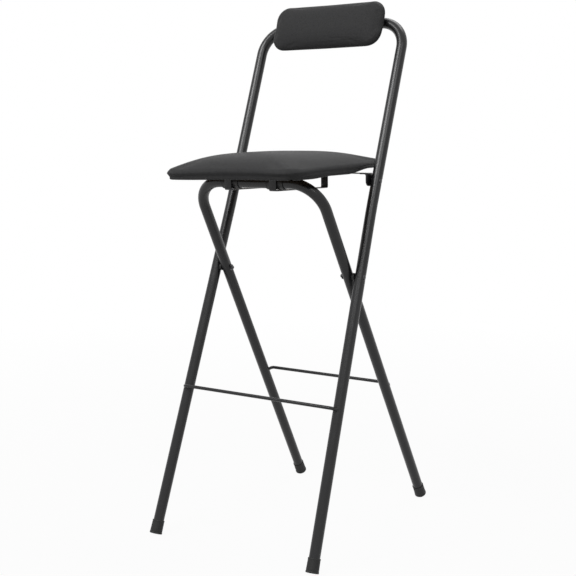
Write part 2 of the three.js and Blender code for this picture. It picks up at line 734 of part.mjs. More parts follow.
put(seat, 'seat_board', seatBoard(), plywood());
put(seat, 'seat_foam', padFoam(seatPlan, HINGE_DROP, SEAT_BOARD_T, seatForm), foam());
put(seat, 'seat_cover', padCover(seatPlan, HINGE_DROP, seatForm), vinyl());
for (const name of ['seat_foam', 'seat_cover']) {
  seat.getObjectByName(name).position.y = seatMiddle;
}
put(seat, 'seat_hinge_strap', hingeStrap(), coatedSteel());
for (const [name, side] of SIDES) {
  const guide = put(seat, `slide_guide_${name}`, slideGuide(), coatedSteel());
  guide.position.x = side * GUIDE_HALF_SPAN;
  const pin = put(seat, `seat_hinge_pin_end_${name}`, earPin(), zincSteel());
  mirrored(pin, side).position.x = side * (BACK_TOP_HALF - TUBE_R - EAR_GAP - STRAP_T - GAP);
}
for (const place of seatScrews) {
  const length = HINGE_DROP - place.under + GAP + SCREW_BITE;
  const part = put(seat, place.name, headedPin('z', SCREW_R, length, SCREW_HEAD_R, SCREW_HEAD_H), zincSteel());
  part.position.set(place.x, place.y, place.under - GAP);
}

// Backrest, in front of the top bow
const backrest = new THREE.Group();
backrest.position.set(0, -TUBE_R - GAP, BOW_UP - PAD_BELOW_BOW);
backrest.rotation.x = Math.PI / 2;
backFrame.add(backrest);
const padPlan = roundedPlan(PAD_HALF_W, PAD_HALF_H, PAD_CORNER_R);
const padForm = { sideHeight: PAD_SIDE_H, crown: PAD_CROWN, pinch: PAD_PINCH };

function backrestBoard() {
  const board = new THREE.ExtrudeGeometry(boardShape(padPlan), { depth: PAD_BOARD_T, bevelEnabled: false });
  const holes = SIDES.map(([, side]) => (
    bar('z', BOLT_R + GAP, -OVERRUN, BOLT_BITE + GAP).translate(side * PAD_SCREW_SPAN, PAD_BELOW_BOW, 0)
  ));
  return cut(board, ...holes);
}

put(backrest, 'backrest_board', backrestBoard(), plywood());
put(backrest, 'backrest_foam', padFoam(padPlan, 0, PAD_BOARD_T, padForm), foam());
put(backrest, 'backrest_cover', padCover(padPlan, 0, padForm), vinyl());
for (const [name, side] of SIDES) {
  const length = 2 * TUBE_R + 2 * GAP + BOLT_BITE;
  const pin = headedPin('z', BOLT_R, length, BOLT_HEAD_R, BOLT_HEAD_H);
  const bolt = put(backrest, `backrest_bolt_${name}`, pin, zincSteel());
  bolt.position.set(side * PAD_SCREW_SPAN, PAD_BELOW_BOW, -2 * TUBE_R - 2 * GAP);
}

export default stool;
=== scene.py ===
"""Looks of a folding bar stool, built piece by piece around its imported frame."""

import json
import math

import bmesh
import bpy
from mathutils import Matrix, Vector, noise


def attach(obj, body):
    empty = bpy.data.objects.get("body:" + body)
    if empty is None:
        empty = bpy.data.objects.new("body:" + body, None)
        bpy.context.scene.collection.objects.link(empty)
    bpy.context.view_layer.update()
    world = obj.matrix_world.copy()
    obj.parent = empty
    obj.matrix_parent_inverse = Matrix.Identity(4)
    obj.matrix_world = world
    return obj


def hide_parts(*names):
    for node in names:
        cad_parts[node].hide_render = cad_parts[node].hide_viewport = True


bl_info = {
    "name": "Folding bar stool",
    "version": (1, 0, 0),
    "blender": (4, 5, 0),
    "location": "3D View > Sidebar > Bar stool",
    "description": "Builds the tubes, fittings, padding and stage of a folding bar stool",
    "category": "Object",
}

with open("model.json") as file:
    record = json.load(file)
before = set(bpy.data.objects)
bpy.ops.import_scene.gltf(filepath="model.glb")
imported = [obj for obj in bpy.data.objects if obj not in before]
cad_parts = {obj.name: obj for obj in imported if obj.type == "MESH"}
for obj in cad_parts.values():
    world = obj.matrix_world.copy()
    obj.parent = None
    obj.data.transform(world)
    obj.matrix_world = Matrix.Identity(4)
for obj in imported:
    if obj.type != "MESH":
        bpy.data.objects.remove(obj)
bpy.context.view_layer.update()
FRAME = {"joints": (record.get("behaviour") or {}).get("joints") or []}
JOINTS = {joint["name"]: joint for joint in FRAME["joints"]}

MM = 0.001
MERGE_DISTANCE = 0.002 * MM
SMOOTH_ANGLE = math.radians(38)
CAP_SMOOTH_ANGLE = math.radians(50)
PAD_SMOOTH_ANGLE = math.radians(60)
PICK_REACH = 0.01
SIDES = (("left", -1), ("right", 1))

# Places of the moving frames, in metres
PIVOT = Vector(JOINTS["frame_fold"]["pos_m"])
CROSS = Vector(JOINTS["glide_turn"]["pos_m"])
SEAT_TILT = math.asin(-JOINTS["seat_slide"]["axis"][2])
BACK_LEAN = math.radians(20.5)
REAR_LEAN = math.radians(30.9)

# Sizes of the frames in millimetres, measured in their own planes from the side pivots
TUBE_R = 11.0
GAP = 0.3
BACK_HALF = 174.0
BACK_FOOT_HALF = 191.0
SPLAY_UP = 139.0
SPLAY_BEND_R = 1500.0
HINGE_UP = 201.0
BOW_UP = 549.0
BACK_SOLE = 578.05
FRONT_ROD_DOWN = 267.0
REAR_HALF = 149.695
CROSS_UP = 218.5
REAR_FLARE = math.radians(1.23)
REAR_SOLE = 628.5
REAR_ROD_DOWN = 306.0
ROD_OUT = 22.0
ROD_BEND_R = 11.0
ROD_END = 6.5
CAP_FLOOR = 5.0
RIVET_DIMPLE = 2.1
RIVET_SEAT_HALF = 5.2
RIVET_SEAT_RAMP = 1.8
RIVET_R = 3.0
RIVET_HEAD_R = 5.0
RIVET_HEAD_H = 1.7
WASHER_T = 1.2
WASHER_FLAT = 0.6
WASHER_FLAT_HALF = 6.4
WASHER_FLAT_RAMP = 1.4
BUSH_BORE = 3.3
BUSH_PLAY = 0.1
WELD_LUMP = 0.7
WELD_LUMPS_PER_MM = 0.55

# Facets round the bars, along their bends and round the turned pieces
TUBE_SIDES = 44
BOW_STEPS = 26
CROSS_STEPS = 28
SPLAY_STEPS = 6
ROD_SIDES = 24
ROD_STEPS = 12
STRIP_STEPS = 8
TURNED_STEPS = 40
WIDE_TURNED_STEPS = 56

# Sizes under the seat in millimetres, measured from the seat hinge
HINGE_DROP = 16.3
STRAP_T = 2.0
STRIP_T = 2.0
EAR_FORWARD = 22.0
EAR_BACK = 8.0
EAR_BELOW = 10.0
EAR_NECK = 14.0
EAR_GAP = 0.5
EAR_FRONT_R = 11.0
EAR_BACK_R = 8.0
STRAP_BEND_R = 4.0
GUIDE_HALF_SPAN = 53.0
GUIDE_W = 16.0
GUIDE_BEND_R = 3.0
GUIDE_END_R = 4.0
GUIDE_FALL = 3.5
GUIDE_REAR_FOOT = 13.0
GUIDE_FRONT_FOOT = 20.0
CROSS_RISE = 2.8
GLIDE_R = 13.2
GLIDE_L = 40.0
GLIDE_WAIST = 12.8
GLIDE_PLAY = 0.15
REAR_LEG_AT = -2.78
FRONT_LEG_AT = -197.28
REAR_SCREW_AT = REAR_LEG_AT + 7.5
FRONT_SCREW_AT = FRONT_LEG_AT - 12.0
STRAP_SCREW_AT = 85.0
SCREW_BITE = 8.0
BOLT_BITE = 6.0
HEAD_SINK = 0.25

# Head radius, head height and shank radius of the screws and of the backrest's bolts
SCREW = (4.2, 2.4, 2.0)
BOLT = (6.0, 3.2, 3.0)

# A cross recess, in shares of the head's radius and height
RECESS_SPAN = 1.1
RECESS_START = 1.2
RECESS_LENGTH = 0.85

# Sizes of the two pads in millimetres
SEAT_MIDDLE = -104.0
SEAT_HALF_W = 159.0
SEAT_HALF_D = 182.0
SEAT_SQUARENESS = 10
SEAT_SIDE_H = 20.1
SEAT_CROWN_POWERS = (3.46, 4.96)
SEAT_COLUMNS = 168
SEAT_HEM = 24.0
SEAT_SWELL = 2.0
SEAT_PLEATS = 46
SEAT_STAPLES = 52
SEAT_STAPLE_INSET = 17.0

# The seat's sprung corners: where the hem's lift and droop grow, in shares of the half diagonal,
# and how large and how steep they are on the top
LIFT_RANGE = (0.55, 0.8)
LIFT_ON_TOP = 0.9
LIFT_POWER = 5.6
DROOP_RANGE = (0.3, 0.9)
DROOP_ON_TOP = 3.2
DROOP_POWER = 2.6
PINCH_POWER = 4

# The lip under the seat's front edge: how far it hangs, the insets where it grows and ends, and
# the shares of the depth between which it fades to the rear
FRONT_LIP = 3.2
LIP_OUTER = (3.5, 6)
LIP_INNER = (15, 19)
LIP_ENDS = (-0.6, -0.2)

PAD_HALF_W = BACK_HALF - 40.5
PAD_HALF_H = 50.5
PAD_CORNER_R = 31.0
PAD_SIDE_H = 20.0
PAD_CROWN_POWERS = (5.0, 2.4)
PAD_COLUMNS = 144
PAD_HEM = 15.0
PAD_SWELL = 1.6
PAD_PLEATS = 34
PAD_STAPLES = 34
PAD_STAPLE_INSET = 10.5
HEM_LEVEL = -0.2
HELD_BELOW = 1.2
PLEAT_TOP = 9.0
PLEAT_DEPTH = 0.8
CREASES_ABOVE = 2.0
BOARD_T = 9.0
BACK_BOARD_T = 8.0
BOARD_INSET = 8.0
BOARD_RISE = 1.0
BOARD_EDGE = 0.8
STAPLE_R = 0.45
STAPLE_HALF = 5.0
STAPLE_LEG = 3.0
STAPLE_BEND_R = 1.0
STAPLE_SIDES = 6
STAPLE_STEPS = 3
BOLT_SPAN = 75.0
PAD_BELOW_BOW = 11.0

BACK_SPREAD = (BACK_FOOT_HALF - BACK_HALF) / (SPLAY_UP + BACK_SOLE)


def shifted(x, y, z):
    return Matrix.Translation(Vector((x, y, z)) * MM)


def turned(angle, axis):
    return Matrix.Rotation(angle, 4, axis)


BACK = Matrix.Translation(PIVOT) @ turned(-BACK_LEAN, "X")
REAR = Matrix.Translation(PIVOT) @ turned(REAR_LEAN, "X")
SEAT = BACK @ shifted(0, 0, HINGE_UP) @ turned(BACK_LEAN + SEAT_TILT, "X")
GLIDE = Matrix.Translation(CROSS) @ turned(SEAT_TILT, "X")
BACKREST = BACK @ shifted(0, -TUBE_R - GAP, BOW_UP - PAD_BELOW_BOW) @ turned(math.pi / 2, "X")


def back_half(up):
    return BACK_HALF + BACK_SPREAD * max(SPLAY_UP - up, 0)


def rear_half(up):
    return REAR_HALF - up * math.tan(REAR_FLARE)


# Settings


def length_property(name, description, default, low, high):
    """A length; the three numbers are in millimetres."""
    return bpy.props.FloatProperty(
        name=name,
        description=description,
        default=default * MM,
        min=low * MM,
        max=high * MM,
        unit="LENGTH",
    )


def colour_property(name, description, default):
    return bpy.props.FloatVectorProperty(
        name=name,
        description=description,
        default=default,
        size=3,
        min=0,
        max=1,
        subtype="COLOR",
    )


def power_property(name, description, default):
    return bpy.props.FloatProperty(
        name=name,
        description=description,
        default=default,
        min=0,
        unit="POWER",
    )


class StoolSizes(bpy.types.PropertyGroup):
    tube_wall: length_property("Tube wall", "Wall thickness of the steel tubes", 1.5, 0.5, 4)
    rod_radius: length_property("Footrest radius", "Radius of the two footrest rods", 3.5, 2, 6)
    bow_bend: length_property(
        "Bow bend", "Bend radius of the back frame's top corners, to the tube's middle", 58, 40, 90
    )
    cross_bend: length_property(
        "Cross bend", "Bend radius of the rear frame's top corners, to the tube's middle", 64, 40, 70
    )
    seat_crown: length_property(
        "Seat crown", "Rise of the seat's middle above its shoulder", 23, 0, 40
    )
    back_crown: length_property(
        "Backrest crown", "Rise of the backrest's middle above its shoulder", 10, 0, 25
    )
    corner_lift: length_property(
        "Corner lift", "How far the seat's back right corner is sprung upwards", 9, 0, 12
    )
    corner_droop: length_property(
        "Corner droop", "How far the seat's front left corner hangs down", 3, 0, 8
    )
    corner_pinch: length_property(
        "Corner pinch", "How far the cover is pulled down at the seat's other two corners", 6, 0, 10
    )


class StoolColours(bpy.types.PropertyGroup):
    steel: colour_property("Steel coat", "Powder coat on the frames", (0.012, 0.012, 0.013))
    vinyl: colour_property("Vinyl", "Cover of the seat and backrest", (0.050, 0.050, 0.051))
    rubber: colour_property("Rubber", "Foot caps", (0.013, 0.013, 0.013))
    plastic: colour_property("Plastic", "Spacers and glide sleeves", (0.010, 0.010, 0.010))
    fixings: colour_property("Fixings", "Rivets, screws and washers", (0.060, 0.060, 0.063))
    board: colour_property("Board", "Raw plywood under the pads", (0.36, 0.235, 0.125))
    staple: colour_property("Staples", "Zinc staples in the boards", (0.52, 0.52, 0.50))
    floor: colour_property("Floor", "Studio floor", (0.55, 0.55, 0.55))


class StoolStage(bpy.types.PropertyGroup):
    key_power: power_property("Key light", "Power of the lamp high in front", 70.0)
    fill_power: power_property("Fill light", "Power of the broad lamp at the front right", 28.0)
    top_power: power_property("Top light", "Power of the lamp overhead", 24.0)
    ambient: bpy.props.FloatProperty(
        name="Ambient",
        description="Strength of the room's even light",
        default=0.15,
        min=0,
        max=2,
    )


# Modelling steps


def open_primitive(name, add, **settings):
    """Adds a primitive with nothing else selected, and opens it for editing."""
    bpy.ops.object.select_all(action="DESELECT")
    add(**settings)
    bpy.ops.object.transform_apply(location=True, rotation=True, scale=True)
    piece = bpy.context.object
    piece.name = name
    piece.data.name = name
    bpy.ops.object.mode_set(mode="EDIT")
    bpy.ops.mesh.select_all(action="SELECT")
    return piece


def pick(kind, test):
    """Selects only the vertices, edges or faces that pass the test."""
    bpy.ops.mesh.select_mode(type=kind)
    bpy.ops.mesh.select_all(action="DESELECT")
    mesh = bmesh.from_edit_mesh(bpy.context.edit_object.data)
    parts = {"VERT": mesh.verts, "EDGE": mesh.edges, "FACE": mesh.faces}[kind]
    for part in parts:
        if test(part):
            part.select_set(True)
    mesh.select_flush_mode()
    bmesh.update_edit_mesh(bpy.context.edit_object.data)


def near(coordinate, millimetres):
    return abs(coordinate / MM - millimetres) < PICK_REACH


def select_only(piece):
    bpy.ops.object.select_all(action="DESELECT")
    bpy.context.view_layer.objects.active = piece
    piece.select_set(True)


def close_mesh():
    """Merges doubles, turns all faces outwards and leaves edit mode."""
    bpy.ops.mesh.select_mode(type="VERT")
    bpy.ops.mesh.select_all(action="SELECT")
    bpy.ops.mesh.remove_doubles(threshold=MERGE_DISTANCE)
    bpy.ops.mesh.normals_make_consistent(inside=False)
    bpy.ops.object.mode_set(mode="OBJECT")


def apply_modifier(piece, kind, **settings):
    """Adds a modifier with these settings to the active piece, and applies it."""
    modifier = piece.modifiers.new(kind, kind)
    for key, value in settings.items():
        setattr(modifier, key, value)
    bpy.ops.object.modifier_apply(modifier=modifier.name)


def extrude(offset):
    bpy.ops.mesh.extrude_region_move(TRANSFORM_OT_translate={"value": offset})


def open_point(name, place):
    """A mesh of one selected vertex, as the start of a drawn line."""
    piece = open_primitive(name, bpy.ops.mesh.primitive_plane_add, size=MM, location=place)
    bpy.ops.mesh.merge(type="CENTER")
    return piece


def spin_profile(name, profile, steps=TURNED_STEPS):
    """Turns a profile of radius and height in millimetres into a solid about Z."""
    points = [Vector((radius, 0, height)) * MM for radius, height in profile]
    piece = open_point(name, points[0])
    for here, there in zip(points, points[1:]):
        extrude(there - here)
    bpy.ops.mesh.select_all(action="SELECT")
    bpy.ops.mesh.spin(steps=steps, angle=math.tau, center=(0, 0, 0), axis=(0, 0, 1))
    close_mesh()
    return piece


def follow(corners, bends):
    """Draws what is selected along rounded corners in the XZ plane, by extruding and spinning."""
    points = [Vector((x, 0, z)) * MM for x, z in corners]
    here = points[0]
    for i, (radius, steps) in enumerate(bends, start=1):
        into = (points[i] - points[i - 1]).normalized()
        out = (points[i + 1] - points[i]).normalized()
        turn = math.atan2(out.x, out.z) - math.atan2(into.x, into.z)
        turn = (turn + math.pi) % math.tau - math.pi
        setback = radius * MM * math.tan(abs(turn) / 2)
        bend_start = points[i] - into * setback
        inwards = Vector((into.z, 0, -into.x)) * math.copysign(radius * MM, turn)
        extrude(bend_start - here)
        bpy.ops.mesh.spin(steps=steps, angle=-turn, center=bend_start + inwards, axis=(0, 1, 0))
        here = points[i] + out * setback
    extrude(points[-1] - here)


def draw_bar(name, radius, sides, corners, bends, open_ends=False):
    """A round bar along rounded corners in the XZ plane, its ends left open for a tube."""
    first, second = (Vector((x, 0, z)) * MM for x, z in corners[:2])
    heading = second - first
    piece = open_primitive(
        name,
        bpy.ops.mesh.primitive_circle_add,
        vertices=sides,
        radius=radius,
        location=first,
        rotation=(0, math.atan2(heading.x, heading.z), 0),
    )
    follow(corners, bends)
    if not open_ends:
        bpy.ops.mesh.select_all(action="SELECT")
        bpy.ops.mesh.fill_holes(sides=0)
    return piece


def draw_strip(name, corners, bends, start_y, width):
    """A sheet along rounded corners in the XZ plane, drawn out along Y, still open for editing."""
    piece = open_point(name, Vector((corners[0][0], start_y, corners[0][1])) * MM)
    follow(corners, bends)
    bpy.ops.mesh.select_all(action="SELECT")
    extrude(Vector((0, width, 0)) * MM)
    return piece


def thicken(piece, thickness, edge=0.3):
    """Gives a sheet its thickness on both sides, and softens its edges."""
    close_mesh()
    apply_modifier(piece, "SOLIDIFY", thickness=thickness * MM, offset=0.0)
    soften(piece, edge)


def soften(piece, width, segments=2, angle=50):
    apply_modifier(
        piece,
        "BEVEL",
        width=width * MM,
        segments=segments,
        limit_method="ANGLE",
        angle_limit=math.radians(angle),
    )


def cut_across(place, normal, **settings):
    bpy.ops.mesh.select_all(action="SELECT")
    bpy.ops.mesh.bisect(plane_co=Vector(place) * MM, plane_no=normal, **settings)


def press_rivet_seat(height, face, depth, half_length=RIVET_SEAT_HALF, ramp=RIVET_SEAT_RAMP):
    """Presses both uprights flat round a rivet.

    face is the pressed side's distance from the frame's middle, below zero for the inner side.
    """
    plane = abs(face) - depth * math.copysign(1, face)
    for level in (half_length + ramp, half_length):
        for up in (-level, level):
            cut_across((0, 0, height + up), (0, 0, 1))
    for side in (-1, 1):
        pick(
            "VERT",
            lambda v: abs(v.co.z / MM - height) < half_length + PICK_REACH
            and v.co.x * side > 0
            and (v.co.x * side / MM - plane) * math.copysign(1, face) > 0,
        )
        bpy.ops.transform.resize(
            value=(0, 1, 1),
            center_override=Vector((side * plane, 0, height)) * MM,
        )


def settle(piece, place, body, slot, material, *nodes, smooth=SMOOTH_ANGLE):
    """Sets a finished piece in its place with its material, hangs it on its body and hides the
    imported parts it stands in for.
    """
    if bpy.context.mode != "OBJECT":
        bpy.ops.object.mode_set(mode="OBJECT")
    select_only(piece)
    piece.matrix_world = place
    bpy.ops.object.transform_apply(location=True, rotation=True, scale=True)
    bpy.ops.object.shade_smooth_by_angle(angle=smooth)
    piece.data.materials.clear()
    piece.data.materials.append(material)
    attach(piece, body)
    if nodes:
        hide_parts(*nodes)
    return piece


def copy_piece(piece, name):
    twin = piece.copy()
    twin.data = piece.data.copy()
    twin.name = name
    twin.data.name = name
    bpy.context.scene.collection.objects.link(twin)
    return twin


def join_pieces(pieces, name):
    select_only(pieces[0])
    for piece in pieces[1:]:
        piece.select_set(True)
    bpy.ops.object.transform_apply(location=True, rotation=True, scale=True)
    bpy.ops.object.join()
    pieces[0].name = name
    pieces[0].data.name = name
    return pieces[0]


# Materials


def feed(tree, socket, value):
    """Links another socket to this one, or gives it a plain value."""
    if isinstance(value, bpy.types.NodeSocket):
        tree.links.new(value, socket)
    else:
        socket.default_value = value


def add_node(tree, kind, settings=None, **inputs):
    node = tree.nodes.new(kind)
    for key, value in (settings or {}).items():
        setattr(node, key, value)
    for key, value in inputs.items():
        feed(tree, node.inputs[key.replace("_", " ")], value)
    return node


def maths(tree, operation, *values, clamp=False):
    """The result of a Math node, each of its inputs a socket or a number."""
    node = add_node(tree, "ShaderNodeMath", {"operation": operation, "use_clamp": clamp})
    for socket, value in zip(node.inputs, values):
        feed(tree, socket, value)
    return node.outputs[0]


DUST_ON_COAT = (0.32, 0.31, 0.29)
DUST_ON_VINYL = (0.30, 0.29, 0.28)


def open_group(name, inputs, outputs):
    """A new shader node group with float inputs and typed outputs."""
    tree = bpy.data.node_groups.new(name, "ShaderNodeTree")
    for label, default in inputs:
        socket = tree.interface.new_socket(label, in_out="INPUT", socket_type="NodeSocketFloat")
        socket.default_value = default
    for label, kind in outputs:
        tree.interface.new_socket(label, in_out="OUTPUT", socket_type=kind)
    return tree, tree.nodes.new("NodeGroupInput"), tree.nodes.new("NodeGroupOutput")


def coat_group():
    """Orange peel and a slow change of gloss, for sprayed and moulded surfaces."""
    tree, given, out = open_group(
        "Coat grain",
        [("Cells per metre", 700.0), ("Depth", 0.1), ("Gloss", 0.4), ("Gloss change", 0.05)],
        [
            ("Normal", "NodeSocketVector"),
            ("Roughness", "NodeSocketFloat"),
            ("Patches", "NodeSocketFloat"),
        ],
    )
    place = add_node(tree, "ShaderNodeTexCoord").outputs["Object"]
    cells = given.outputs["Cells per metre"]
    peel = add_node(tree, "ShaderNodeTexNoise", Vector=place, Scale=cells, Detail=2.0)
    depth = given.outputs["Depth"]
    bump = add_node(
        tree, "ShaderNodeBump", Height=peel.outputs[0], Strength=depth, Distance=0.3 * MM
    )
    slow = add_node(tree, "ShaderNodeTexNoise", Vector=place, Scale=26.0, Detail=4.0, Roughness=0.6)
    shift = maths(tree, "SUBTRACT", slow.outputs[0], 0.5)
    change = given.outputs["Gloss change"]
    gloss = maths(tree, "MULTIPLY_ADD", shift, change, given.outputs["Gloss"])
    tree.links.new(bump.outputs[0], out.inputs["Normal"])
    tree.links.new(gloss, out.inputs["Roughness"])
    tree.links.new(slow.outputs[0], out.inputs["Patches"])
    return tree


def hide_group():
    """Embossed pebble grain with fine pores, for vinyl."""
    tree, given, out = open_group(
        "Vinyl grain",
        [("Cells per metre", 620.0), ("Depth", 0.3), ("Gloss", 0.5)],
        [
            ("Normal", "NodeSocketVector"),
            ("Roughness", "NodeSocketFloat"),
            ("Pebbles", "NodeSocketFloat"),
        ],
    )
    place = add_node(tree, "ShaderNodeTexCoord").outputs["Object"]
    wander = add_node(tree, "ShaderNodeTexNoise", Vector=place, Scale=180.0, Detail=3.0)
    drift = add_node(tree, "ShaderNodeVectorMath", {"operation": "MULTIPLY_ADD"})
    for socket, value in zip(drift.inputs, (wander.outputs["Color"], (1.6 * MM,) * 3, place)):
        feed(tree, socket, value)
    cells = add_node(
        tree,
        "ShaderNodeTexVoronoi",
        {"feature": "DISTANCE_TO_EDGE"},
        Vector=drift.outputs[0],
        Scale=given.outputs["Cells per metre"],
    )
    pebble = add_node(
        tree,
        "ShaderNodeMapRange",
        {"interpolation_type": "SMOOTHSTEP"},
        Value=cells.outputs[0],
        From_Max=0.22,
    ).outputs[0]
    pores = add_node(tree, "ShaderNodeTexNoise", Vector=place, Scale=2400.0, Detail=1.0)
    height = maths(tree, "MULTIPLY_ADD", pores.outputs[0], 0.25, pebble)
    depth = given.outputs["Depth"]
    bump = add_node(tree, "ShaderNodeBump", Height=height, Strength=depth, Distance=0.25 * MM)
    gloss = maths(tree, "MULTIPLY_ADD", pebble, -0.08, given.outputs["Gloss"])
    tree.links.new(bump.outputs[0], out.inputs["Normal"])
    tree.links.new(gloss, out.inputs["Roughness"])
    tree.links.new(pebble, out.inputs["Pebbles"])
    return tree


def wear_group():
    """A mask of rubbed edges and a mask of dust on what faces up."""
    tree, given, out = open_group(
        "Rub and dust",
        [("Rub", 0.5), ("Dust", 0.1)],
        [("Rubbed", "NodeSocketFloat"), ("Dusty", "NodeSocketFloat")],
    )
    place = add_node(tree, "ShaderNodeTexCoord").outputs["Object"]
    shape = add_node(tree, "ShaderNodeNewGeometry")
    sharp = shape.outputs["Pointiness"]
    edges = add_node(tree, "ShaderNodeMapRange", Value=sharp, From_Min=0.53, From_Max=0.62)
    flecks = add_node(
        tree, "ShaderNodeTexNoise", Vector=place, Scale=160.0, Detail=5.0, Roughness=0.7
    ).outputs[0]
    patchy = maths(tree, "MULTIPLY", edges.outputs[0], flecks)
    rubbed = maths(tree, "MULTIPLY", patchy, given.outputs["Rub"], clamp=True)
    facing = add_node(tree, "ShaderNodeSeparateXYZ", Vector=shape.outputs["Normal"])
    upward = add_node(tree, "ShaderNodeMapRange", Value=facing.outputs["Z"], From_Min=0.2)
    settled = maths(tree, "MULTIPLY", upward.outputs[0], flecks)
    dusty = maths(tree, "MULTIPLY", settled, given.outputs["Dust"], clamp=True)
    tree.links.new(rubbed, out.inputs["Rubbed"])
    tree.links.new(dusty, out.inputs["Dusty"])
    return tree


def add_group(tree, name, build, **inputs):
    """Places a shared node group, which is built when it is first asked for."""
    group = tree.nodes.new("ShaderNodeGroup")
    group.node_tree = bpy.data.node_groups.get(name) or build()
    for key, value in inputs.items():
        group.inputs[key.replace("_", " ")].default_value = value
    return group


def mix_colours(tree, mask, first, second):
    """Blends two colours, each a colour or a socket, by a mask that changes over the surface."""
    mix = tree.nodes.new("ShaderNodeMix")
    mix.data_type = "RGBA"
    tree.links.new(mask, mix.inputs[0])
    for socket, value in ((mix.inputs[6], first), (mix.inputs[7], second)):
        feed(tree, socket, value if isinstance(value, bpy.types.NodeSocket) else (*value, 1))
    return mix.outputs[2]


def shade(colour, factor, lift=0.0):
    return tuple(min(value * factor + lift, 1) for value in colour)


def dress(tree, shader, colour, roughness, normal):
    """Feeds a shader the colour, roughness and normal that change over the surface."""
    tree.links.new(colour, shader.inputs["Base Color"])
    tree.links.new(roughness, shader.inputs["Roughness"])
    tree.links.new(normal, shader.inputs["Normal"])


def open_material(name, specular, metallic=0.0):
    material = bpy.data.materials.new(name)
    material.use_nodes = True
    shader = material.node_tree.nodes["Principled BSDF"]
    shader.inputs["Specular IOR Level"].default_value = specular
    shader.inputs["Metallic"].default_value = metallic
    return material, material.node_tree, shader


def coated_material(name, colour, gloss, specular, cells, depth, rub, dust, metallic=0.0):
    """A sprayed, moulded or blackened surface with grain, rubbed edges and a little dust."""
    material, tree, shader = open_material(name, specular, metallic)
    grain = add_group(
        tree,
        "Coat grain",
        coat_group,
        Cells_per_metre=cells,
        Depth=depth,
        Gloss=gloss,
        Gloss_change=0.16,
    )
    wear = add_group(tree, "Rub and dust", wear_group, Rub=rub, Dust=dust)
    base = mix_colours(tree, grain.outputs["Patches"], shade(colour, 0.86), colour)
    worn = mix_colours(tree, wear.outputs["Rubbed"], base, shade(colour, 3.2, 0.01))
    dusted = mix_colours(tree, wear.outputs["Dusty"], worn, DUST_ON_COAT)
    dress(tree, shader, dusted, grain.outputs["Roughness"], grain.outputs["Normal"])
    return material


def vinyl_material(colour):
    """Soft embossed vinyl, with painted shade darkening the valleys between its pebbles."""
    material, tree, shader = open_material("Black vinyl", 0.04)
    grain = add_group(
        tree, "Vinyl grain", hide_group, Cells_per_metre=620.0, Depth=0.32, Gloss=0.52
    )
    wear = add_group(tree, "Rub and dust", wear_group, Rub=0.25, Dust=0.015)
    # Painted shade: the valleys between the pebbles take 0.62 of the vinyl colour and the pebble
    # tops 1.06 of it
    shades = mix_colours(tree, grain.outputs["Pebbles"], shade(colour, 0.62), shade(colour, 1.06))
    dusted = mix_colours(tree, wear.outputs["Dusty"], shades, DUST_ON_VINYL)
    dress(tree, shader, dusted, grain.outputs["Roughness"], grain.outputs["Normal"])
    return material


def plywood_material(colour):
    """Rotary-cut veneer: long wavering figure, pores, and darker patches."""
    material, tree, shader = open_material("Raw plywood", 0.25)
    place = add_node(tree, "ShaderNodeTexCoord").outputs["Object"]
    along = add_node(
        tree, "ShaderNodeMapping", Vector=place, Scale=(9.0, 60.0, 260.0)
    ).outputs[0]
    figure = add_node(
        tree, "ShaderNodeTexNoise", Vector=along, Scale=1.0, Detail=6.0, Distortion=1.4
    )
    pores = add_node(tree, "ShaderNodeTexNoise", Vector=along, Scale=14.0, Detail=2.0)
    contrast = add_node(
        tree, "ShaderNodeMapRange", Value=figure.outputs[0], From_Min=0.35, From_Max=0.68
    )
    shades = mix_colours(tree, contrast.outputs[0], shade(colour, 0.62), colour)
    speckled = mix_colours(tree, pores.outputs[0], shade(colour, 0.8), shades)
    bump = add_node(
        tree, "ShaderNodeBump", Height=pores.outputs[0], Strength=0.5, Distance=0.15 * MM
    )
    rough = add_node(tree, "ShaderNodeMapRange", Value=figure.outputs[0], To_Min=0.68, To_Max=0.86)
    dress(tree, shader, speckled, rough.outputs[0], bump.outputs[0])
    return material


def finish(kind):
    """The material of that kind, made when it is first asked for."""
    colours = bpy.context.scene.stool_colours
    names = {
        "steel": "Black powder coat",
        "vinyl": "Black vinyl",
        "rubber": "Foot rubber",
        "plastic": "Black plastic",
        "fixings": "Blackened steel",
        "board": "Raw plywood",
        "staple": "Zinc wire",
    }
    made = bpy.data.materials.get(names[kind])
    if made:
        return made
    colour = tuple(getattr(colours, kind))
    if kind == "vinyl":
        return vinyl_material(colour)
    if kind == "board":
        return plywood_material(colour)
    looks = {
        "steel": dict(gloss=0.27, specular=0.36, cells=520.0, depth=0.08, rub=0.25, dust=0.01),
        "rubber": dict(gloss=0.62, specular=0.35, cells=900.0, depth=0.22, rub=0.5, dust=0.10),
        "plastic": dict(gloss=0.48, specular=0.4, cells=1300.0, depth=0.14, rub=0.4, dust=0.04),
        "fixings": dict(gloss=0.30, specular=0.5, cells=1500.0, depth=0.08, rub=0.9, dust=0.02),
        "staple": dict(gloss=0.30, specular=0.5, cells=2000.0, depth=0.05, rub=0.3, dust=0.02),
    }
    metal = {"fixings": 0.85, "staple": 1.0}
    return coated_material(names[kind], colour, **looks[kind], metallic=metal.get(kind, 0.0))


# Pieces of the frames


def wall_tube(piece, place, body, node):
    """Gives a drawn tube its wall on the inside, and settles it."""
    close_mesh()
    wall = bpy.context.scene.stool_sizes.tube_wall
    apply_modifier(piece, "SOLIDIFY", thickness=wall, offset=-1.0)
    settle(piece, place, body, "coated_steel", finish("steel"), node)


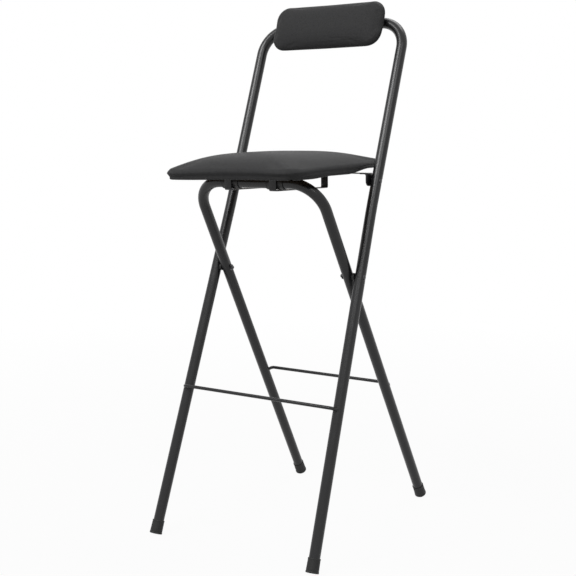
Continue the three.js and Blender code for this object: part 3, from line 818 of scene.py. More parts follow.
def back_tube():
    foot = CAP_FLOOR + GAP - BACK_SOLE
    bow = (bpy.context.scene.stool_sizes.bow_bend / MM, BOW_STEPS)
    splay = (SPLAY_BEND_R, SPLAY_STEPS)
    corners = [
        (-back_half(foot), foot),
        (-BACK_HALF, SPLAY_UP),
        (-BACK_HALF, BOW_UP),
        (BACK_HALF, BOW_UP),
        (BACK_HALF, SPLAY_UP),
        (back_half(foot), foot),
    ]
    piece = draw_bar("back_tube", TUBE_R * MM, TUBE_SIDES, corners, [splay, bow, bow, splay], True)
    press_rivet_seat(0, back_half(0) + TUBE_R, RIVET_DIMPLE)
    press_rivet_seat(HINGE_UP, BACK_HALF + TUBE_R, RIVET_DIMPLE)
    wall_tube(piece, BACK, "back_frame", "back_frame_tube")


def rear_tube():
    foot = CAP_FLOOR + GAP - REAR_SOLE
    bend = (bpy.context.scene.stool_sizes.cross_bend / MM, CROSS_STEPS)
    corners = [
        (-rear_half(foot), foot),
        (-rear_half(CROSS_UP), CROSS_UP),
        (rear_half(CROSS_UP), CROSS_UP),
        (rear_half(foot), foot),
    ]
    piece = draw_bar("rear_tube", TUBE_R * MM, TUBE_SIDES, corners, [bend, bend], True)
    press_rivet_seat(0, TUBE_R - REAR_HALF, WASHER_FLAT, WASHER_FLAT_HALF, WASHER_FLAT_RAMP)
    wall_tube(piece, REAR, "rear_frame", "rear_frame_tube")


def footrest(name, half, face, place, body, node):
    """A rod across a frame, its ends turned into the tubes' faces, with a weld bead at each end."""
    radius = bpy.context.scene.stool_sizes.rod_radius
    end, out = face * ROD_END, face * ROD_OUT
    piece = draw_bar(
        name,
        radius,
        ROD_SIDES,
        [(-half, end), (-half, out), (half, out), (half, end)],
        [(ROD_BEND_R, ROD_STEPS)] * 2,
    )
    close_mesh()
    settle(piece, place @ turned(-math.pi / 2, "X"), body, "coated_steel", finish("steel"), node)
    r = radius / MM
    profile = [
        (r - 0.3, -2.6), (r + 2.7, -2.6), (r + 2.6, -1.7), (r + 1.7, -0.6), (r + 0.9, 0.4),
        (r + 0.5, 1.5), (r - 0.3, 1.9), (r - 0.3, -2.6),
    ]
    for side_name, side in SIDES:
        bead = spin_profile(f"{name}_weld_{side_name}", profile)
        elsewhere = Vector((side * 7, face * 3, 0))
        for vertex in bead.data.vertices:
            lump = noise.noise(vertex.co / MM * WELD_LUMPS_PER_MM + elsewhere)
            vertex.co += vertex.co.normalized() * lump * WELD_LUMP * MM
        at = place @ shifted(side * half, face * TUBE_R, 0) @ turned(-face * math.pi / 2, "X")
        settle(bead, at, body, "coated_steel", finish("steel"))


# Radius and height of the foot cap's outline: tread, sole, groove, side, lip, bore and floor
CAP_PROFILE = [
    (0, 0.9), (3.2, 0.9), (3.6, 0), (5.4, 0), (5.8, 0.9), (8.6, 0.9), (9.0, 0), (12.2, 0),
    (12.8, 0.3), (13.0, 0.9), (13.0, 3.3), (12.8, 3.8), (12.35, 4.1), (12.3, 4.6), (12.6, 5.0),
    (12.65, 5.8), (12.5, 12), (12.3, 21), (12.2, 25.2), (12.25, 25.6), (12.5, 25.9), (12.55, 26.4),
    (12.45, 27.2), (12.15, 27.7), (11.75, 27.95), (11.35, 27.8), (11.14, 27.3), (11.12, 26.4),
    (11.1, 5.2), (0, 5.2),
]


def foot_caps(name, half, sole, flare, place, body):
    """Rubber caps with a lip, a grooved sole and a ringed tread, cut level by the floor."""
    for side_name, side in SIDES:
        piece = spin_profile(f"{name}_cap_{side_name}", CAP_PROFILE, WIDE_TURNED_STEPS)
        at = place @ shifted(side * half, 0, -sole) @ turned(-side * flare, "Y")
        node = f"foot_cap_{name}_{side_name}"
        settle(piece, at, body, "foot_rubber", finish("rubber"), node, smooth=CAP_SMOOTH_ANGLE)
        bpy.ops.object.mode_set(mode="EDIT")
        cut_across((0, 0, 0), (0, 0, 1), use_fill=True, clear_inner=True)
        bpy.ops.object.mode_set(mode="OBJECT")


# Shares of a rivet head's radius and height, from its rim to its top
DOME = [(1, 0), (0.985, 0.22), (0.93, 0.48), (0.82, 0.72), (0.62, 0.89), (0.34, 0.98), (0, 1)]


def dome(radius, height, base=0.0):
    return [(radius * out, base + height * up) for out, up in DOME]


def ring_profile(inner, outer, low, high, chamfer):
    return [
        (inner, low), (outer - chamfer, low), (outer, low + chamfer), (outer, high - chamfer),
        (outer - chamfer, high), (inner, high), (inner, low),
    ]


def spun_pair(
    name, profile, x, place, body, slot, kind, node, inwards=False, steps=TURNED_STEPS
):
    """A left and a right copy of a turned piece on a cross axis, its height pointing outwards."""
    for side_name, side in SIDES:
        piece = spin_profile(f"{name}_{side_name}", profile, steps)
        facing = -side if inwards else side
        at = place @ shifted(side * x, 0, 0) @ turned(facing * math.pi / 2, "Y")
        settle(piece, at, body, slot, finish(kind), f"{node}_{side_name}")


def pivot_pieces():
    head_at = back_half(0) + TUBE_R - RIVET_DIMPLE + GAP
    inside = REAR_HALF - TUBE_R - GAP - WASHER_T - GAP
    tail = inside - head_at
    head = [(RIVET_R, 0), *dome(RIVET_HEAD_R, RIVET_HEAD_H)]
    rivet = [
        (0, tail - 4), (2.2, tail - 4), (3.3, tail - 3.4), (3.6, tail - 2.2), (3.5, tail),
        (RIVET_R, tail), *head,
    ]
    spun_pair("pivot_pin", rivet, head_at, BACK, "back_frame", "fixings", "fixings", "pivot_rivet")
    low, high = BUSH_PLAY, back_half(0) - REAR_HALF - 2 * TUBE_R - BUSH_PLAY
    spacer = [
        (BUSH_BORE, low), (7.0, low), (7.6, low + 0.5), (7.6, low + 1.4), (6.9, low + 1.8),
        (6.9, high - 1.8), (7.6, high - 1.4), (7.6, high - 0.5), (7.0, high), (BUSH_BORE, high),
        (BUSH_BORE, low),
    ]
    spun_pair(
        "pivot_bush", spacer, REAR_HALF + TUBE_R, BACK,
        "back_frame", "black_plastic", "plastic", "pivot_spacer",
    )
    washer = ring_profile(BUSH_BORE, 6.5, -WASHER_T, 0, 0.25)
    spun_pair(
        "pivot_washer_disc", washer, REAR_HALF - TUBE_R - GAP, REAR,
        "rear_frame", "fixings", "fixings", "pivot_washer",
    )
    end = RIVET_DIMPLE - GAP - 2 * TUBE_R
    short = [(0, end), (2.4, end), (RIVET_R, end + 0.6), *head]
    spun_pair(
        "hinge_pin", short, BACK_HALF + TUBE_R - RIVET_DIMPLE + GAP, BACK @ shifted(0, 0, HINGE_UP),
        "back_frame", "fixings", "fixings", "seat_hinge_rivet",
    )


def glide_pieces():
    half = GLIDE_L / 2
    bore = TUBE_R + GLIDE_PLAY
    end = [
        (bore, half), (12.5, half), (GLIDE_R, half - 0.7), (GLIDE_R, half - 3),
        (GLIDE_WAIST, half - 3.4),
    ]
    sleeve = [(radius, -height) for radius, height in end] + end[::-1] + [(bore, -half)]
    spun_pair(
        "glide_tube", sleeve, GUIDE_HALF_SPAN, GLIDE,
        "glides", "black_plastic", "plastic", "glide_sleeve", steps=WIDE_TURNED_STEPS,
    )


# Pieces under the seat


def hinge_strap():
    """The strap under the seat with its two ears: a sheet, cut back between them and rounded."""
    out = BACK_HALF - TUBE_R - EAR_GAP - STRAP_T / 2
    top = HINGE_DROP - GAP - STRAP_T / 2
    piece = draw_strip(
        "hinge_strap_formed",
        [(-out, -EAR_BELOW), (-out, top), (out, top), (out, -EAR_BELOW)],
        [(STRAP_BEND_R, STRIP_STEPS)] * 2,
        -EAR_FORWARD,
        EAR_FORWARD + EAR_BACK,
    )
    cut_across((0, -EAR_BACK, 0), (0, 1, 0))
    for side in (-1, 1):
        cut_across((side * (out - EAR_NECK), 0, 0), (1, 0, 0))
    pick(
        "FACE",
        lambda f: f.calc_center_median().y < -EAR_BACK * MM
        and abs(f.calc_center_median().x) < (out - EAR_NECK) * MM,
    )
    bpy.ops.mesh.delete(type="FACE")
    for y, radius in ((-EAR_FORWARD, EAR_FRONT_R), (EAR_BACK, EAR_BACK_R)):
        pick("VERT", lambda v: near(v.co.y, y) and near(v.co.z, -EAR_BELOW))
        bpy.ops.mesh.bevel(offset=radius * MM, affect="VERTICES", segments=10, clamp_overlap=False)
    thicken(piece, STRAP_T)
    settle(piece, SEAT, "seat", "coated_steel", finish("steel"), "seat_hinge_strap")


def slide_guides():
    """Bent strips that hold the cross tube up against the seat board."""
    floor = CROSS_RISE - GLIDE_R - GAP - STRIP_T / 2
    front_top = HINGE_DROP - GAP - STRIP_T / 2
    rear_top = front_top - STRAP_T - GAP
    corners = [
        (REAR_LEG_AT + GUIDE_REAR_FOOT, rear_top),
        (REAR_LEG_AT, rear_top),
        (REAR_LEG_AT, floor - GUIDE_FALL),
        (FRONT_LEG_AT, floor),
        (FRONT_LEG_AT, front_top),
        (FRONT_LEG_AT - GUIDE_FRONT_FOOT, front_top),
    ]
    bends = [(GUIDE_BEND_R, STRIP_STEPS)] * 4
    for side_name, side in SIDES:
        piece = draw_strip(f"guide_strip_{side_name}", corners, bends, -GUIDE_W / 2, GUIDE_W)
        for x, z in (corners[0], corners[-1]):
            pick("VERT", lambda v: near(v.co.x, x) and near(v.co.z, z))
            bpy.ops.mesh.bevel(offset=GUIDE_END_R * MM, affect="VERTICES", segments=6)
        thicken(piece, STRIP_T)
        at = SEAT @ shifted(side * GUIDE_HALF_SPAN, 0, 0) @ turned(math.pi / 2, "Z")
        settle(piece, at, "seat", "coated_steel", finish("steel"), f"slide_guide_{side_name}")


def cross_headed(name, radius, height, shank_radius, shank):
    """A pan-headed screw about Z, head downwards, with a cross recess."""
    piece = spin_profile(
        name,
        [
            (0, -height), (radius * 0.55, -height * 0.97), (radius * 0.8, -height * 0.84),
            (radius * 0.95, -height * 0.6), (radius, -height * 0.3), (radius, 0), (shank_radius, 0),
            (shank_radius, shank - 1), (shank_radius * 0.5, shank), (0, shank),
        ],
    )
    cutter = open_primitive(
        "recess_cutter",
        bpy.ops.mesh.primitive_grid_add,
        x_subdivisions=3,
        y_subdivisions=3,
        size=radius * RECESS_SPAN * MM,
        location=(0, 0, -height * RECESS_START * MM),
    )
    arm = radius * RECESS_SPAN / 6 * MM
    pick(
        "FACE",
        lambda f: abs(f.calc_center_median().x) > arm and abs(f.calc_center_median().y) > arm,
    )
    bpy.ops.mesh.delete(type="FACE")
    bpy.ops.mesh.select_all(action="SELECT")
    extrude(Vector((0, 0, height * RECESS_LENGTH)) * MM)
    close_mesh()
    select_only(piece)
    apply_modifier(piece, "BOOLEAN", operation="DIFFERENCE", object=cutter, solver="EXACT")
    bpy.data.objects.remove(cutter)
    return piece


def seat_screws():
    strap_under = HINGE_DROP - GAP - STRAP_T
    front_under = HINGE_DROP - GAP - STRIP_T
    rear_under = strap_under - GAP - STRIP_T
    places = [
        ("hinge_strap_screw", STRAP_SCREW_AT, 0, strap_under),
        ("guide_rear_screw", GUIDE_HALF_SPAN, REAR_SCREW_AT, rear_under),
        ("guide_front_screw", GUIDE_HALF_SPAN, FRONT_SCREW_AT, front_under),
    ]
    for node, x, y, under in places:
        shank = HINGE_DROP - under + GAP + SCREW_BITE
        pattern = cross_headed(f"{node}_pattern", *SCREW, shank)
        for side_name, side in SIDES:
            piece = copy_piece(pattern, f"{node}_turned_{side_name}")
            place = SEAT @ shifted(side * x, y, under - GAP + HEAD_SINK)
            at = place @ turned(side * 0.5 + x * 0.1, "Z")
            settle(piece, at, "seat", "fixings", finish("fixings"), f"{node}_{side_name}")
        bpy.data.objects.remove(pattern)


def hinge_pin_ends():
    pin_at = BACK_HALF - TUBE_R - EAR_GAP - STRAP_T - GAP
    pin = [
        (0, -2.8), (RIVET_R, -2.8), (RIVET_R, 0), (5.5, 0), (5.5, 1.2), (5.1, 1.9), (4.2, 2.4),
        (0, 2.5),
    ]
    spun_pair(
        "ear_pin", pin, pin_at, SEAT,
        "seat", "fixings", "fixings", "seat_hinge_pin_end", inwards=True,
    )


# Padding


def even_plan(outline, count):
    """Resamples a closed outline into evenly spaced points, starting on the +X side."""
    lengths = [0.0]
    for a, b in zip(outline, outline[1:] + outline[:1]):
        lengths.append(lengths[-1] + (b - a).length)
    points = []
    j = 0
    for k in range(count):
        want = lengths[-1] * k / count
        while lengths[j + 1] < want:
            j += 1
        share = (want - lengths[j]) / (lengths[j + 1] - lengths[j])
        points.append(outline[j].lerp(outline[(j + 1) % len(outline)], share))
    return points


def squircle_outline(half_width, half_depth, power, count=720):
    def bent(value):
        return math.copysign(abs(value) ** (2 / power), value)

    angles = [math.tau * k / count for k in range(count)]
    return [
        Vector((half_width * bent(math.cos(angle)), half_depth * bent(math.sin(angle))))
        for angle in angles
    ]


def rounded_outline(half_width, half_height, radius, per_corner=60):
    points = [Vector((half_width, 0))]
    for quarter, (sx, sy) in enumerate(((1, 1), (-1, 1), (-1, -1), (1, -1))):
        for k in range(per_corner + 1):
            angle = (quarter + k / per_corner) * math.pi / 2
            centre = Vector((sx * (half_width - radius), sy * (half_height - radius)))
            points.append(centre + Vector((math.cos(angle), math.sin(angle))) * radius)
    return points


def plan_normals(plan):
    normals = []
    for before, after in zip(plan[-1:] + plan[:-1], plan[1:] + plan[:1]):
        along = (after - before).normalized()
        normals.append(Vector((along.y, -along.x)))
    return normals


def pad_form(name, plan, profile, crown_at):
    """A ball drawn out into a pad, ring by ring from the middle below to the middle on top.

    Each profile row is an inset, a share of the plan and a height; None takes the crown's height.
    """
    piece = open_primitive(
        name,
        bpy.ops.mesh.primitive_uv_sphere_add,
        segments=len(plan),
        ring_count=len(profile) - 1,
        radius=1.0,
    )
    bpy.ops.object.mode_set(mode="OBJECT")
    normals = plan_normals(plan)
    for vertex in piece.data.vertices:
        row = round((1 - math.acos(max(-1, min(1, vertex.co.z))) / math.pi) * (len(profile) - 1))
        column = round(math.atan2(vertex.co.y, vertex.co.x) / math.tau * len(plan)) % len(plan)
        inset, share, height = profile[row]
        flat = (plan[column] - normals[column] * inset) * share
        if height is None:
            height = crown_at(flat.x, flat.y)
        vertex.co = Vector((flat.x, flat.y, height)) * MM
    return piece


# Insets in millimetres and height shares of a pad's rolled side, from its foot to its shoulder
SIDE_ROLL = (
    (9.0, 0.0), (7.7, 0.015), (6.7, 0.045), (5.7, 0.10), (4.6, 0.17), (3.4, 0.25), (2.2, 0.335),
    (1.1, 0.42), (0.3, 0.505), (0.1, 0.572), (0.3, 0.647), (0.8, 0.721), (1.6, 0.796),
    (2.5, 0.856), (3.5, 0.91), (4.7, 0.96),
)
SHOULDER_INSET = 6.0

# Rings of a pad's top, as shares of its plan from the shoulder to the middle
SHOULDER_SHARES = (
    1.0, 0.975, 0.945, 0.91, 0.87, 0.83, 0.785, 0.735, 0.68, 0.62, 0.555, 0.485, 0.41, 0.33,
    0.245, 0.16, 0.08, 0.0,
)


def pad_profile(board, side, hem):
    """The rows of a pad: its board's recess, its folded hem, its rolled side and its crown."""
    low, edge, under_board = HEM_LEVEL, BOARD_INSET - GAP, BOARD_RISE - 0.25
    rows = [(edge, share, board + GAP) for share in (0.0, 0.35, 0.7, 1.0)]
    rows += [
        (edge, 1, under_board), (hem * 0.6, 1, under_board), (hem, 1, BOARD_RISE - 0.3),
        (hem + 0.4, 1, 0.25), (hem, 1, low), (hem * 0.75, 1, low), (hem * 0.5, 1, low),
        (9.4, 1, low),
    ]
    rows += [(inset, 1, low + (side - low) * rise) for inset, rise in SIDE_ROLL]
    rows += [(SHOULDER_INSET, share, None) for share in SHOULDER_SHARES]
    return rows


def crown_form(half_width, half_depth, side, crown, powers):
    """Height of an evenly stuffed pad: full in the middle and falling to its side all round."""
    def crown_at(x, y):
        across = min(abs(x) / (half_width - SHOULDER_INSET), 1)
        along = min(abs(y) / (half_depth - SHOULDER_INSET), 1)
        return side + crown * (1 - across ** powers[0]) * (1 - along ** powers[1])

    return crown_at


SWELL_FRAMES = 20
CLOTH = {
    "quality": 5,
    "mass": 0.25,
    "tension_stiffness": 12,
    "compression_stiffness": 12,
    "shear_stiffness": 6,
    "bending_stiffness": 1.5,
    "use_pressure": True,
    "uniform_pressure_force": 4,
}


def puff(piece, most):
    """Lets the cover swell round its foam, its underside held, and caps the swelling."""
    mesh = piece.data
    held = piece.vertex_groups.new(name="held")
    held.add([v.index for v in mesh.vertices if v.co.z < HELD_BELOW * MM], 1.0, "REPLACE")
    before = [v.co.copy() for v in mesh.vertices]
    cloth = piece.modifiers.new("Cloth", "CLOTH")
    for key, value in CLOTH.items():
        setattr(cloth.settings, key, value)
    cloth.settings.vertex_group_mass = held.name
    cloth.settings.effector_weights.gravity = 0
    cloth.point_cache.frame_start = 1
    cloth.point_cache.frame_end = SWELL_FRAMES
    scene = bpy.context.scene
    for frame in range(1, SWELL_FRAMES + 1):
        scene.frame_set(frame)
    bpy.ops.object.modifier_apply(modifier=cloth.name)
    scene.frame_set(1)
    most *= MM
    for vertex, was in zip(piece.data.vertices, before):
        moved = vertex.co - was
        if moved.length > 0:
            vertex.co = was + moved * (most * math.tanh(moved.length / most) / moved.length)
    piece.vertex_groups.clear()


def smooth_step(low, high, value):
    t = max(0.0, min(1.0, (value - low) / (high - low)))
    return t * t * (3 - 2 * t)


def corner_pleats(piece, half_width, half_depth, count):
    """Gathers the cover into small pleats where it is pulled under at the corners."""
    for vertex in piece.data.vertices:
        x, y, z = vertex.co / MM
        nearness = smooth_step(0.62, 0.92, abs(x / half_width * y / half_depth))
        fall = 1 - smooth_step(0, PLEAT_TOP, z)
        if nearness > 0 and fall > 0:
            angle = math.atan2(abs(y) / half_depth, abs(x) / half_width)
            wave = math.sin(angle * count + 0.8 * noise.noise(vertex.co / MM * 0.05))
            inwards = Vector((-x, -y, 0)).normalized()
            vertex.co += inwards * MM * PLEAT_DEPTH * nearness * fall * (0.5 - 0.5 * wave)


def crease_section(off):
    """Depth across a crease: a valley with a low bank on both sides."""
    return math.exp(-off * off) - 0.35 * math.exp(-(off - 1.7) ** 2)


def creases(piece, lines):
    """Soft wrinkles, each with a start, an end, a depth and a half width in millimetres."""
    for vertex in piece.data.vertices:
        place = vertex.co.to_2d() / MM
        for start, end, depth, half_width in lines:
            along = Vector(end) - Vector(start)
            share = (place - Vector(start)).dot(along) / along.length_squared
            share = max(0.0, min(1.0, share))
            off = (place - Vector(start) - along * share).length / half_width
            if off < 3 and vertex.co.z > CREASES_ABOVE * MM:
                taper = math.sin(math.pi * (0.12 + 0.76 * share))
                vertex.co.z -= depth * taper * crease_section(off) * MM


# The wrinkles of the two pads
BACKREST_CREASES = (
    ((12, -35.0), (78, -36.5), 0.45, 1.5),
    ((38, -40.0), (92, -38.5), 0.5, 1.4),
    ((-20, -41.5), (34, -42.5), 0.35, 1.6),
    ((70, -31.0), (100, -30.0), 0.25, 1.8),
)
SEAT_CREASES = (
    ((150, 172), (118, 118), 0.5, 2.6),
    ((153, 150), (136, 96), 0.45, 2.2),
    ((-148, -172), (-112, -138), 0.4, 2.4),
    ((140, -170), (112, -146), 0.35, 2.4),
)


def seat_spring(x, y, rise=0.0):
    """How far the sprung seat stands off true, in metres; rise is 0 below and 1 on top."""
    sizes = bpy.context.scene.stool_sizes
    slant = (x / SEAT_HALF_W + y / SEAT_HALF_D) / 2
    cross = (x / SEAT_HALF_W - y / SEAT_HALF_D) / 2
    if slant > 0:
        below = sizes.corner_lift * smooth_step(*LIFT_RANGE, slant)
        above = sizes.corner_lift * LIFT_ON_TOP * slant ** LIFT_POWER
    else:
        below = -sizes.corner_droop * smooth_step(*DROOP_RANGE, -slant)
        above = -sizes.corner_droop * DROOP_ON_TOP * (-slant) ** DROOP_POWER
    above -= sizes.corner_pinch * abs(cross) ** PINCH_POWER
    return below + (above - below) * rise


def spring_seat(piece):
    for vertex in piece.data.vertices:
        x, y, z = vertex.co / MM
        vertex.co.z += seat_spring(x, y, smooth_step(0, SEAT_SIDE_H, z))


def front_lip(piece):
    """The hem's thicker fold, which hangs below the seat's front edge."""
    for vertex in piece.data.vertices:
        x, y, z = vertex.co / MM
        inset = min(SEAT_HALF_W - abs(x), SEAT_HALF_D - abs(y))
        if z < BOARD_RISE:
            fold = smooth_step(*LIP_OUTER, inset) * (1 - smooth_step(*LIP_INNER, inset))
            fold *= 1 - smooth_step(*LIP_ENDS, y / SEAT_HALF_D)
            vertex.co.z -= FRONT_LIP * MM * fold


# Rings of a board's faces, as shares of its plan; they are close where the seat is sprung
BOARD_SHARES = (0.0, 0.25, 0.45, 0.6, 0.7, 0.76, 0.81, 0.86, 0.91, 0.96, 1.0)


def pad_board(name, plan, thickness):
    """A board with softened edges, its underside a little inside the pad's hem."""
    rows = [(BOARD_INSET, share, BOARD_RISE) for share in BOARD_SHARES]
    rows += [(BOARD_INSET, share, thickness) for share in reversed(BOARD_SHARES)]
    piece = pad_form(name, plan, rows, None)
    soften(piece, BOARD_EDGE)
    return piece


def staples(name, plan, inset, count, spring=None, clear_of=None):
    """A row of wire staples through the hem, each a bent wire whose legs go into the board.

    clear_of is the height of a bar across the board, which leaves no room for staples.
    """
    bar = HEM_LEVEL - STAPLE_R * 0.6
    half = STAPLE_HALF
    pattern = draw_bar(
        f"{name}_pattern",
        STAPLE_R * MM,
        STAPLE_SIDES,
        [(-half, STAPLE_LEG), (-half, bar), (half, bar), (half, STAPLE_LEG)],
        [(STAPLE_BEND_R, STAPLE_STEPS)] * 2,
    )
    close_mesh()
    normals = plan_normals(plan)
    copies = []
    for k in range(count):
        column = round((k + 0.5) * len(plan) / count) % len(plan)
        flat = plan[column] - normals[column] * (inset + 1.5 * math.sin(k * 2.3))
        if clear_of and abs(flat.y - clear_of) < TUBE_R + 2:
            continue
        along = math.atan2(normals[column].y, normals[column].x) + math.pi / 2
        along += 0.12 * math.sin(k * 1.7)
        piece = copy_piece(pattern, f"{name}_{k}")
        height = spring(flat.x, flat.y) / MM if spring else 0
        piece.matrix_world = shifted(flat.x, flat.y, height) @ turned(along, "Z")
        copies.append(piece)
    bpy.data.objects.remove(pattern)
    return join_pieces(copies, name)


def stuffed_pad(name, plan, halves, heights, hem, crown, powers, swell, pleats, lines):
    """A cover over its foam: drawn out, swollen, smoothed, gathered at its corners and creased."""
    board, side = heights
    pad = pad_form(
        name, plan, pad_profile(board, side, hem), crown_form(*halves, side, crown / MM, powers)
    )
    puff(pad, swell)
    apply_modifier(pad, "SUBSURF", levels=1, render_levels=1)
    corner_pleats(pad, *halves, pleats)
    creases(pad, lines)
    return pad


def seat_pieces():
    halves = (SEAT_HALF_W, SEAT_HALF_D)
    plan = even_plan(squircle_outline(*halves, SEAT_SQUARENESS), SEAT_COLUMNS)
    crown = bpy.context.scene.stool_sizes.seat_crown
    pad = stuffed_pad(
        "seat_pad", plan, halves, (BOARD_T, SEAT_SIDE_H), SEAT_HEM,
        crown, SEAT_CROWN_POWERS, SEAT_SWELL, SEAT_PLEATS, SEAT_CREASES,
    )
    front_lip(pad)
    spring_seat(pad)
    under = SEAT @ shifted(0, SEAT_MIDDLE, HINGE_DROP)
    settle(
        pad, under, "seat", "vinyl", finish("vinyl"), "seat_cover", "seat_foam",
        smooth=PAD_SMOOTH_ANGLE,
    )
    board = pad_board("seat_board_ply", plan, BOARD_T)
    spring_seat(board)
    settle(board, under, "seat", "plywood", finish("board"), "seat_board")
    row = staples("seat_staples", plan, SEAT_STAPLE_INSET, SEAT_STAPLES, seat_spring)
    settle(row, under, "seat", "fixings", finish("staple"))


def backrest_pieces():
    halves = (PAD_HALF_W, PAD_HALF_H)
    plan = even_plan(rounded_outline(*halves, PAD_CORNER_R), PAD_COLUMNS)
    crown = bpy.context.scene.stool_sizes.back_crown
    pad = stuffed_pad(
        "backrest_pad", plan, halves, (BACK_BOARD_T, PAD_SIDE_H), PAD_HEM,
        crown, PAD_CROWN_POWERS, PAD_SWELL, PAD_PLEATS, BACKREST_CREASES,
    )
    settle(
        pad, BACKREST, "back_frame", "vinyl", finish("vinyl"), "backrest_cover", "backrest_foam",
        smooth=PAD_SMOOTH_ANGLE,
    )
    board = pad_board("backrest_board_ply", plan, BACK_BOARD_T)
    settle(board, BACKREST, "back_frame", "plywood", finish("board"), "backrest_board")
    row = staples(
        "backrest_staples", plan, PAD_STAPLE_INSET, PAD_STAPLES, clear_of=PAD_BELOW_BOW
    )
    settle(row, BACKREST, "back_frame", "fixings", finish("staple"))


def backrest_bolts():
    behind = 2 * TUBE_R + 2 * GAP
    pattern = cross_headed("bolt_pattern", *BOLT, behind + BOLT_BITE)
    for side_name, side in SIDES:
        piece = copy_piece(pattern, f"backrest_bolt_turned_{side_name}")
        place = BACKREST @ shifted(side * BOLT_SPAN, PAD_BELOW_BOW, HEAD_SINK - behind)
        at = place @ turned(0.4 * side, "Z")
        node = f"backrest_bolt_{side_name}"
        settle(piece, at, "back_frame", "fixings", finish("fixings"), node)
    bpy.data.objects.remove(pattern)


# Stage


WHITE = (1, 1, 1, 1)
FLOOR_SIZE = 40
FLOOR_DROP = 0.2
FLOOR_WHITENESS = 0.955
SHADOW_REACH = (0.6, 2.6)

# Name, place, aim, size and the power's setting of each lamp, in metres
LAMPS = (
    ("key_lamp", (-0.75, -2.5, 3.05), (0, 0, 0.8), (2.2, 0.8), "key_power"),
    ("fill_lamp", (1.9, -2.4, 2.9), (0, 0, 0.7), (2.2, 1.2), "fill_power"),
    ("top_lamp", (0.2, 0.9, 2.9), (0, 0, 0.8), (1.6, 1.2), "top_power"),
)

# The camera, in metres, radians and millimetres
CAMERA_PLACE = (1.1897, -1.89376, 0.8072)
CAMERA_TURN = (math.pi / 2 - 0.135, 0, 0.573)
CAMERA_LENS = 66.24
CAMERA_SENSOR = 36


def light_path_mask(tree):
    """One where the camera, a gloss or a glass looks straight at the surface."""
    rays = tree.nodes.new("ShaderNodeLightPath").outputs
    either = maths(tree, "MAXIMUM", rays["Is Camera Ray"], rays["Is Glossy Ray"])
    return maths(tree, "MAXIMUM", either, rays["Is Transmission Ray"])


def end_tree(tree, mask, lit, white, output_kind):
    """Mixes what lights the scene with plain white, by a mask, into the tree's output."""
    mix = add_node(tree, "ShaderNodeMixShader", Fac=mask)
    tree.links.new(lit.outputs[0], mix.inputs[1])
    tree.links.new(white.outputs[0], mix.inputs[2])
    output = add_node(tree, output_kind)
    tree.links.new(mix.outputs[0], output.inputs["Surface"])


def studio_world(ambient):
    world = bpy.data.worlds.new("Studio")
    bpy.context.scene.world = world
    world.use_nodes = True
    tree = world.node_tree
    tree.nodes.clear()
    room = add_node(tree, "ShaderNodeBackground", Color=WHITE, Strength=ambient)
    white = add_node(tree, "ShaderNodeBackground", Color=WHITE, Strength=1.0)
    end_tree(tree, light_path_mask(tree), room, white, "ShaderNodeOutputWorld")


def studio_floor(colour):
    """A floor that takes a faint shadow under the stool and is plain white further out."""
    floor = open_primitive("studio_floor", bpy.ops.mesh.primitive_plane_add, size=FLOOR_SIZE)
    bpy.ops.mesh.subdivide(number_cuts=3)
    bpy.ops.object.mode_set(mode="OBJECT")
    material = bpy.data.materials.new("Studio floor")
    material.use_nodes = True
    tree = material.node_tree
    tree.nodes.clear()
    matt = add_node(tree, "ShaderNodeBsdfDiffuse", Color=(*colour, 1))
    white = add_node(tree, "ShaderNodeEmission", Color=WHITE, Strength=1.0)
    place = add_node(tree, "ShaderNodeTexCoord").outputs["Object"]
    distance = add_node(tree, "ShaderNodeVectorMath", {"operation": "LENGTH"})
    tree.links.new(place, distance.inputs[0])
    fade = add_node(
        tree,
        "ShaderNodeMapRange",
        Value=distance.outputs["Value"],
        From_Min=SHADOW_REACH[0],
        From_Max=SHADOW_REACH[1],
        To_Min=FLOOR_WHITENESS,
    )
    share = maths(tree, "MULTIPLY", light_path_mask(tree), fade.outputs[0])
    end_tree(tree, share, matt, white, "ShaderNodeOutputMaterial")
    floor.data.materials.append(material)
    floor.location.z = -FLOOR_DROP * MM


def area_lamp(name, place, target, size, power):
    bpy.ops.object.light_add(type="AREA", location=place)
    lamp = bpy.context.object
    lamp.name = name
    lamp.data.shape = "RECTANGLE"
    lamp.data.size, lamp.data.size_y = size
    lamp.data.energy = power
    lamp.rotation_euler = (Vector(target) - Vector(place)).to_track_quat("-Z", "Y").to_euler()


# Operators


class BuildStep(bpy.types.Operator):
    bl_options = {"REGISTER", "UNDO"}
    steps = ()

    def execute(self, context):
        for step in self.steps:
            step()
        return {"FINISHED"}


class STOOL_OT_frames(BuildStep):
    """Builds the two bent tubes with their pressed rivet seats"""

    bl_idname = "stool.frames"
    bl_label = "Frame tubes"
    steps = (back_tube, rear_tube)


class STOOL_OT_footrests(BuildStep):
    """Builds the two footrest rods with their weld beads"""

    bl_idname = "stool.footrests"
    bl_label = "Footrest rods"

    def execute(self, context):
        front = BACK @ shifted(0, 0, -FRONT_ROD_DOWN)
        rear = REAR @ shifted(0, 0, -REAR_ROD_DOWN)
        footrest(
            "front_rest", back_half(-FRONT_ROD_DOWN), -1, front, "back_frame", "front_footrest_rod"
        )
        footrest(
            "rear_rest", rear_half(-REAR_ROD_DOWN), 1, rear, "rear_frame", "rear_footrest_rod"
        )
        return {"FINISHED"}


class STOOL_OT_foot_caps(BuildStep):
    """Builds the four rubber foot caps"""

    bl_idname = "stool.foot_caps"
    bl_label = "Foot caps"

    def execute(self, context):
        splay = math.atan(BACK_SPREAD)
        foot_caps("front", BACK_FOOT_HALF, BACK_SOLE, splay, BACK, "back_frame")
        foot_caps("rear", rear_half(-REAR_SOLE), REAR_SOLE, REAR_FLARE, REAR, "rear_frame")
        return {"FINISHED"}


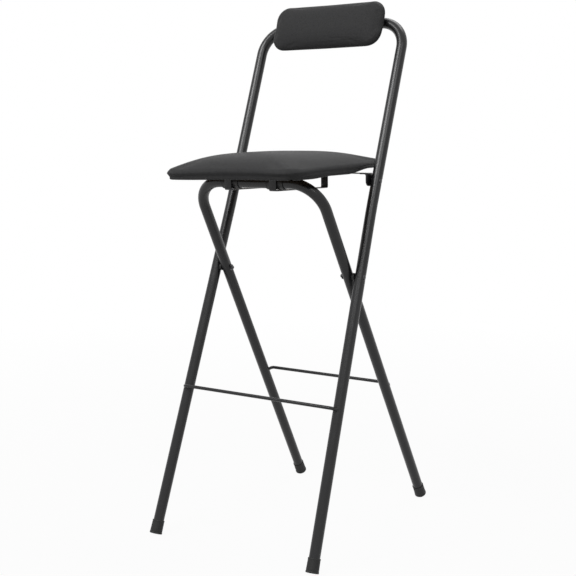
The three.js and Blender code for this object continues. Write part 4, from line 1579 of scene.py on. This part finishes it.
class STOOL_OT_pivots(BuildStep):
    """Builds the rivets, bushes and washers of the side pivots and the seat hinge"""

    bl_idname = "stool.pivots"
    bl_label = "Pivots"
    steps = (pivot_pieces,)


class STOOL_OT_glides(BuildStep):
    """Builds the sleeves that slide in the seat guides"""

    bl_idname = "stool.glides"
    bl_label = "Glide sleeves"
    steps = (glide_pieces,)


class STOOL_OT_seat_ironwork(BuildStep):
    """Builds the hinge strap, the slide guides, their screws and the ends of the hinge pins"""

    bl_idname = "stool.seat_ironwork"
    bl_label = "Seat ironwork"
    steps = (hinge_strap, slide_guides, seat_screws, hinge_pin_ends)


class STOOL_OT_seat(BuildStep):
    """Builds the seat pad, its board and its staples"""

    bl_idname = "stool.seat"
    bl_label = "Seat"
    steps = (seat_pieces,)


class STOOL_OT_backrest(BuildStep):
    """Builds the backrest pad, its board, staples and bolts"""

    bl_idname = "stool.backrest"
    bl_label = "Backrest"
    steps = (backrest_pieces, backrest_bolts)


class STOOL_OT_stage(BuildStep):
    """Builds the floor, the lamps, the world and the camera"""

    bl_idname = "stool.stage"
    bl_label = "Stage"

    def execute(self, context):
        stage = context.scene.stool_stage
        studio_world(stage.ambient)
        studio_floor(tuple(context.scene.stool_colours.floor))
        for name, place, target, size, power in LAMPS:
            area_lamp(name, place, target, size, getattr(stage, power))
        bpy.ops.object.camera_add(location=CAMERA_PLACE, rotation=CAMERA_TURN)
        camera = context.object
        camera.data.sensor_fit = "HORIZONTAL"
        camera.data.sensor_width = CAMERA_SENSOR
        camera.data.lens = CAMERA_LENS
        context.scene.camera = camera
        context.scene.view_settings.view_transform = "Standard"
        return {"FINISHED"}


class STOOL_PT_panel(bpy.types.Panel):
    bl_idname = "STOOL_PT_panel"
    bl_label = "Bar stool"
    bl_space_type = "VIEW_3D"
    bl_region_type = "UI"
    bl_category = "Bar stool"

    def draw(self, context):
        for name in GROUPS:
            group = getattr(context.scene, name)
            box = self.layout.box()
            for key in type(group).__annotations__:
                box.prop(group, key)
        for operator in OPERATORS:
            self.layout.operator(operator.bl_idname)


OPERATORS = (
    STOOL_OT_frames,
    STOOL_OT_footrests,
    STOOL_OT_foot_caps,
    STOOL_OT_pivots,
    STOOL_OT_glides,
    STOOL_OT_seat_ironwork,
    STOOL_OT_seat,
    STOOL_OT_backrest,
    STOOL_OT_stage,
)
GROUPS = {"stool_sizes": StoolSizes, "stool_colours": StoolColours, "stool_stage": StoolStage}


def register():
    for cls in (*GROUPS.values(), *OPERATORS, STOOL_PT_panel):
        bpy.utils.register_class(cls)
    for name, cls in GROUPS.items():
        setattr(bpy.types.Scene, name, bpy.props.PointerProperty(type=cls))


def unregister():
    for name in GROUPS:
        delattr(bpy.types.Scene, name)
    for cls in reversed((*GROUPS.values(), *OPERATORS, STOOL_PT_panel)):
        bpy.utils.unregister_class(cls)


def main():
    register()
    for operator in OPERATORS:
        prefix, step = operator.bl_idname.split(".")
        getattr(getattr(bpy.ops, prefix), step)()


if __name__ == "__main__":
    main()
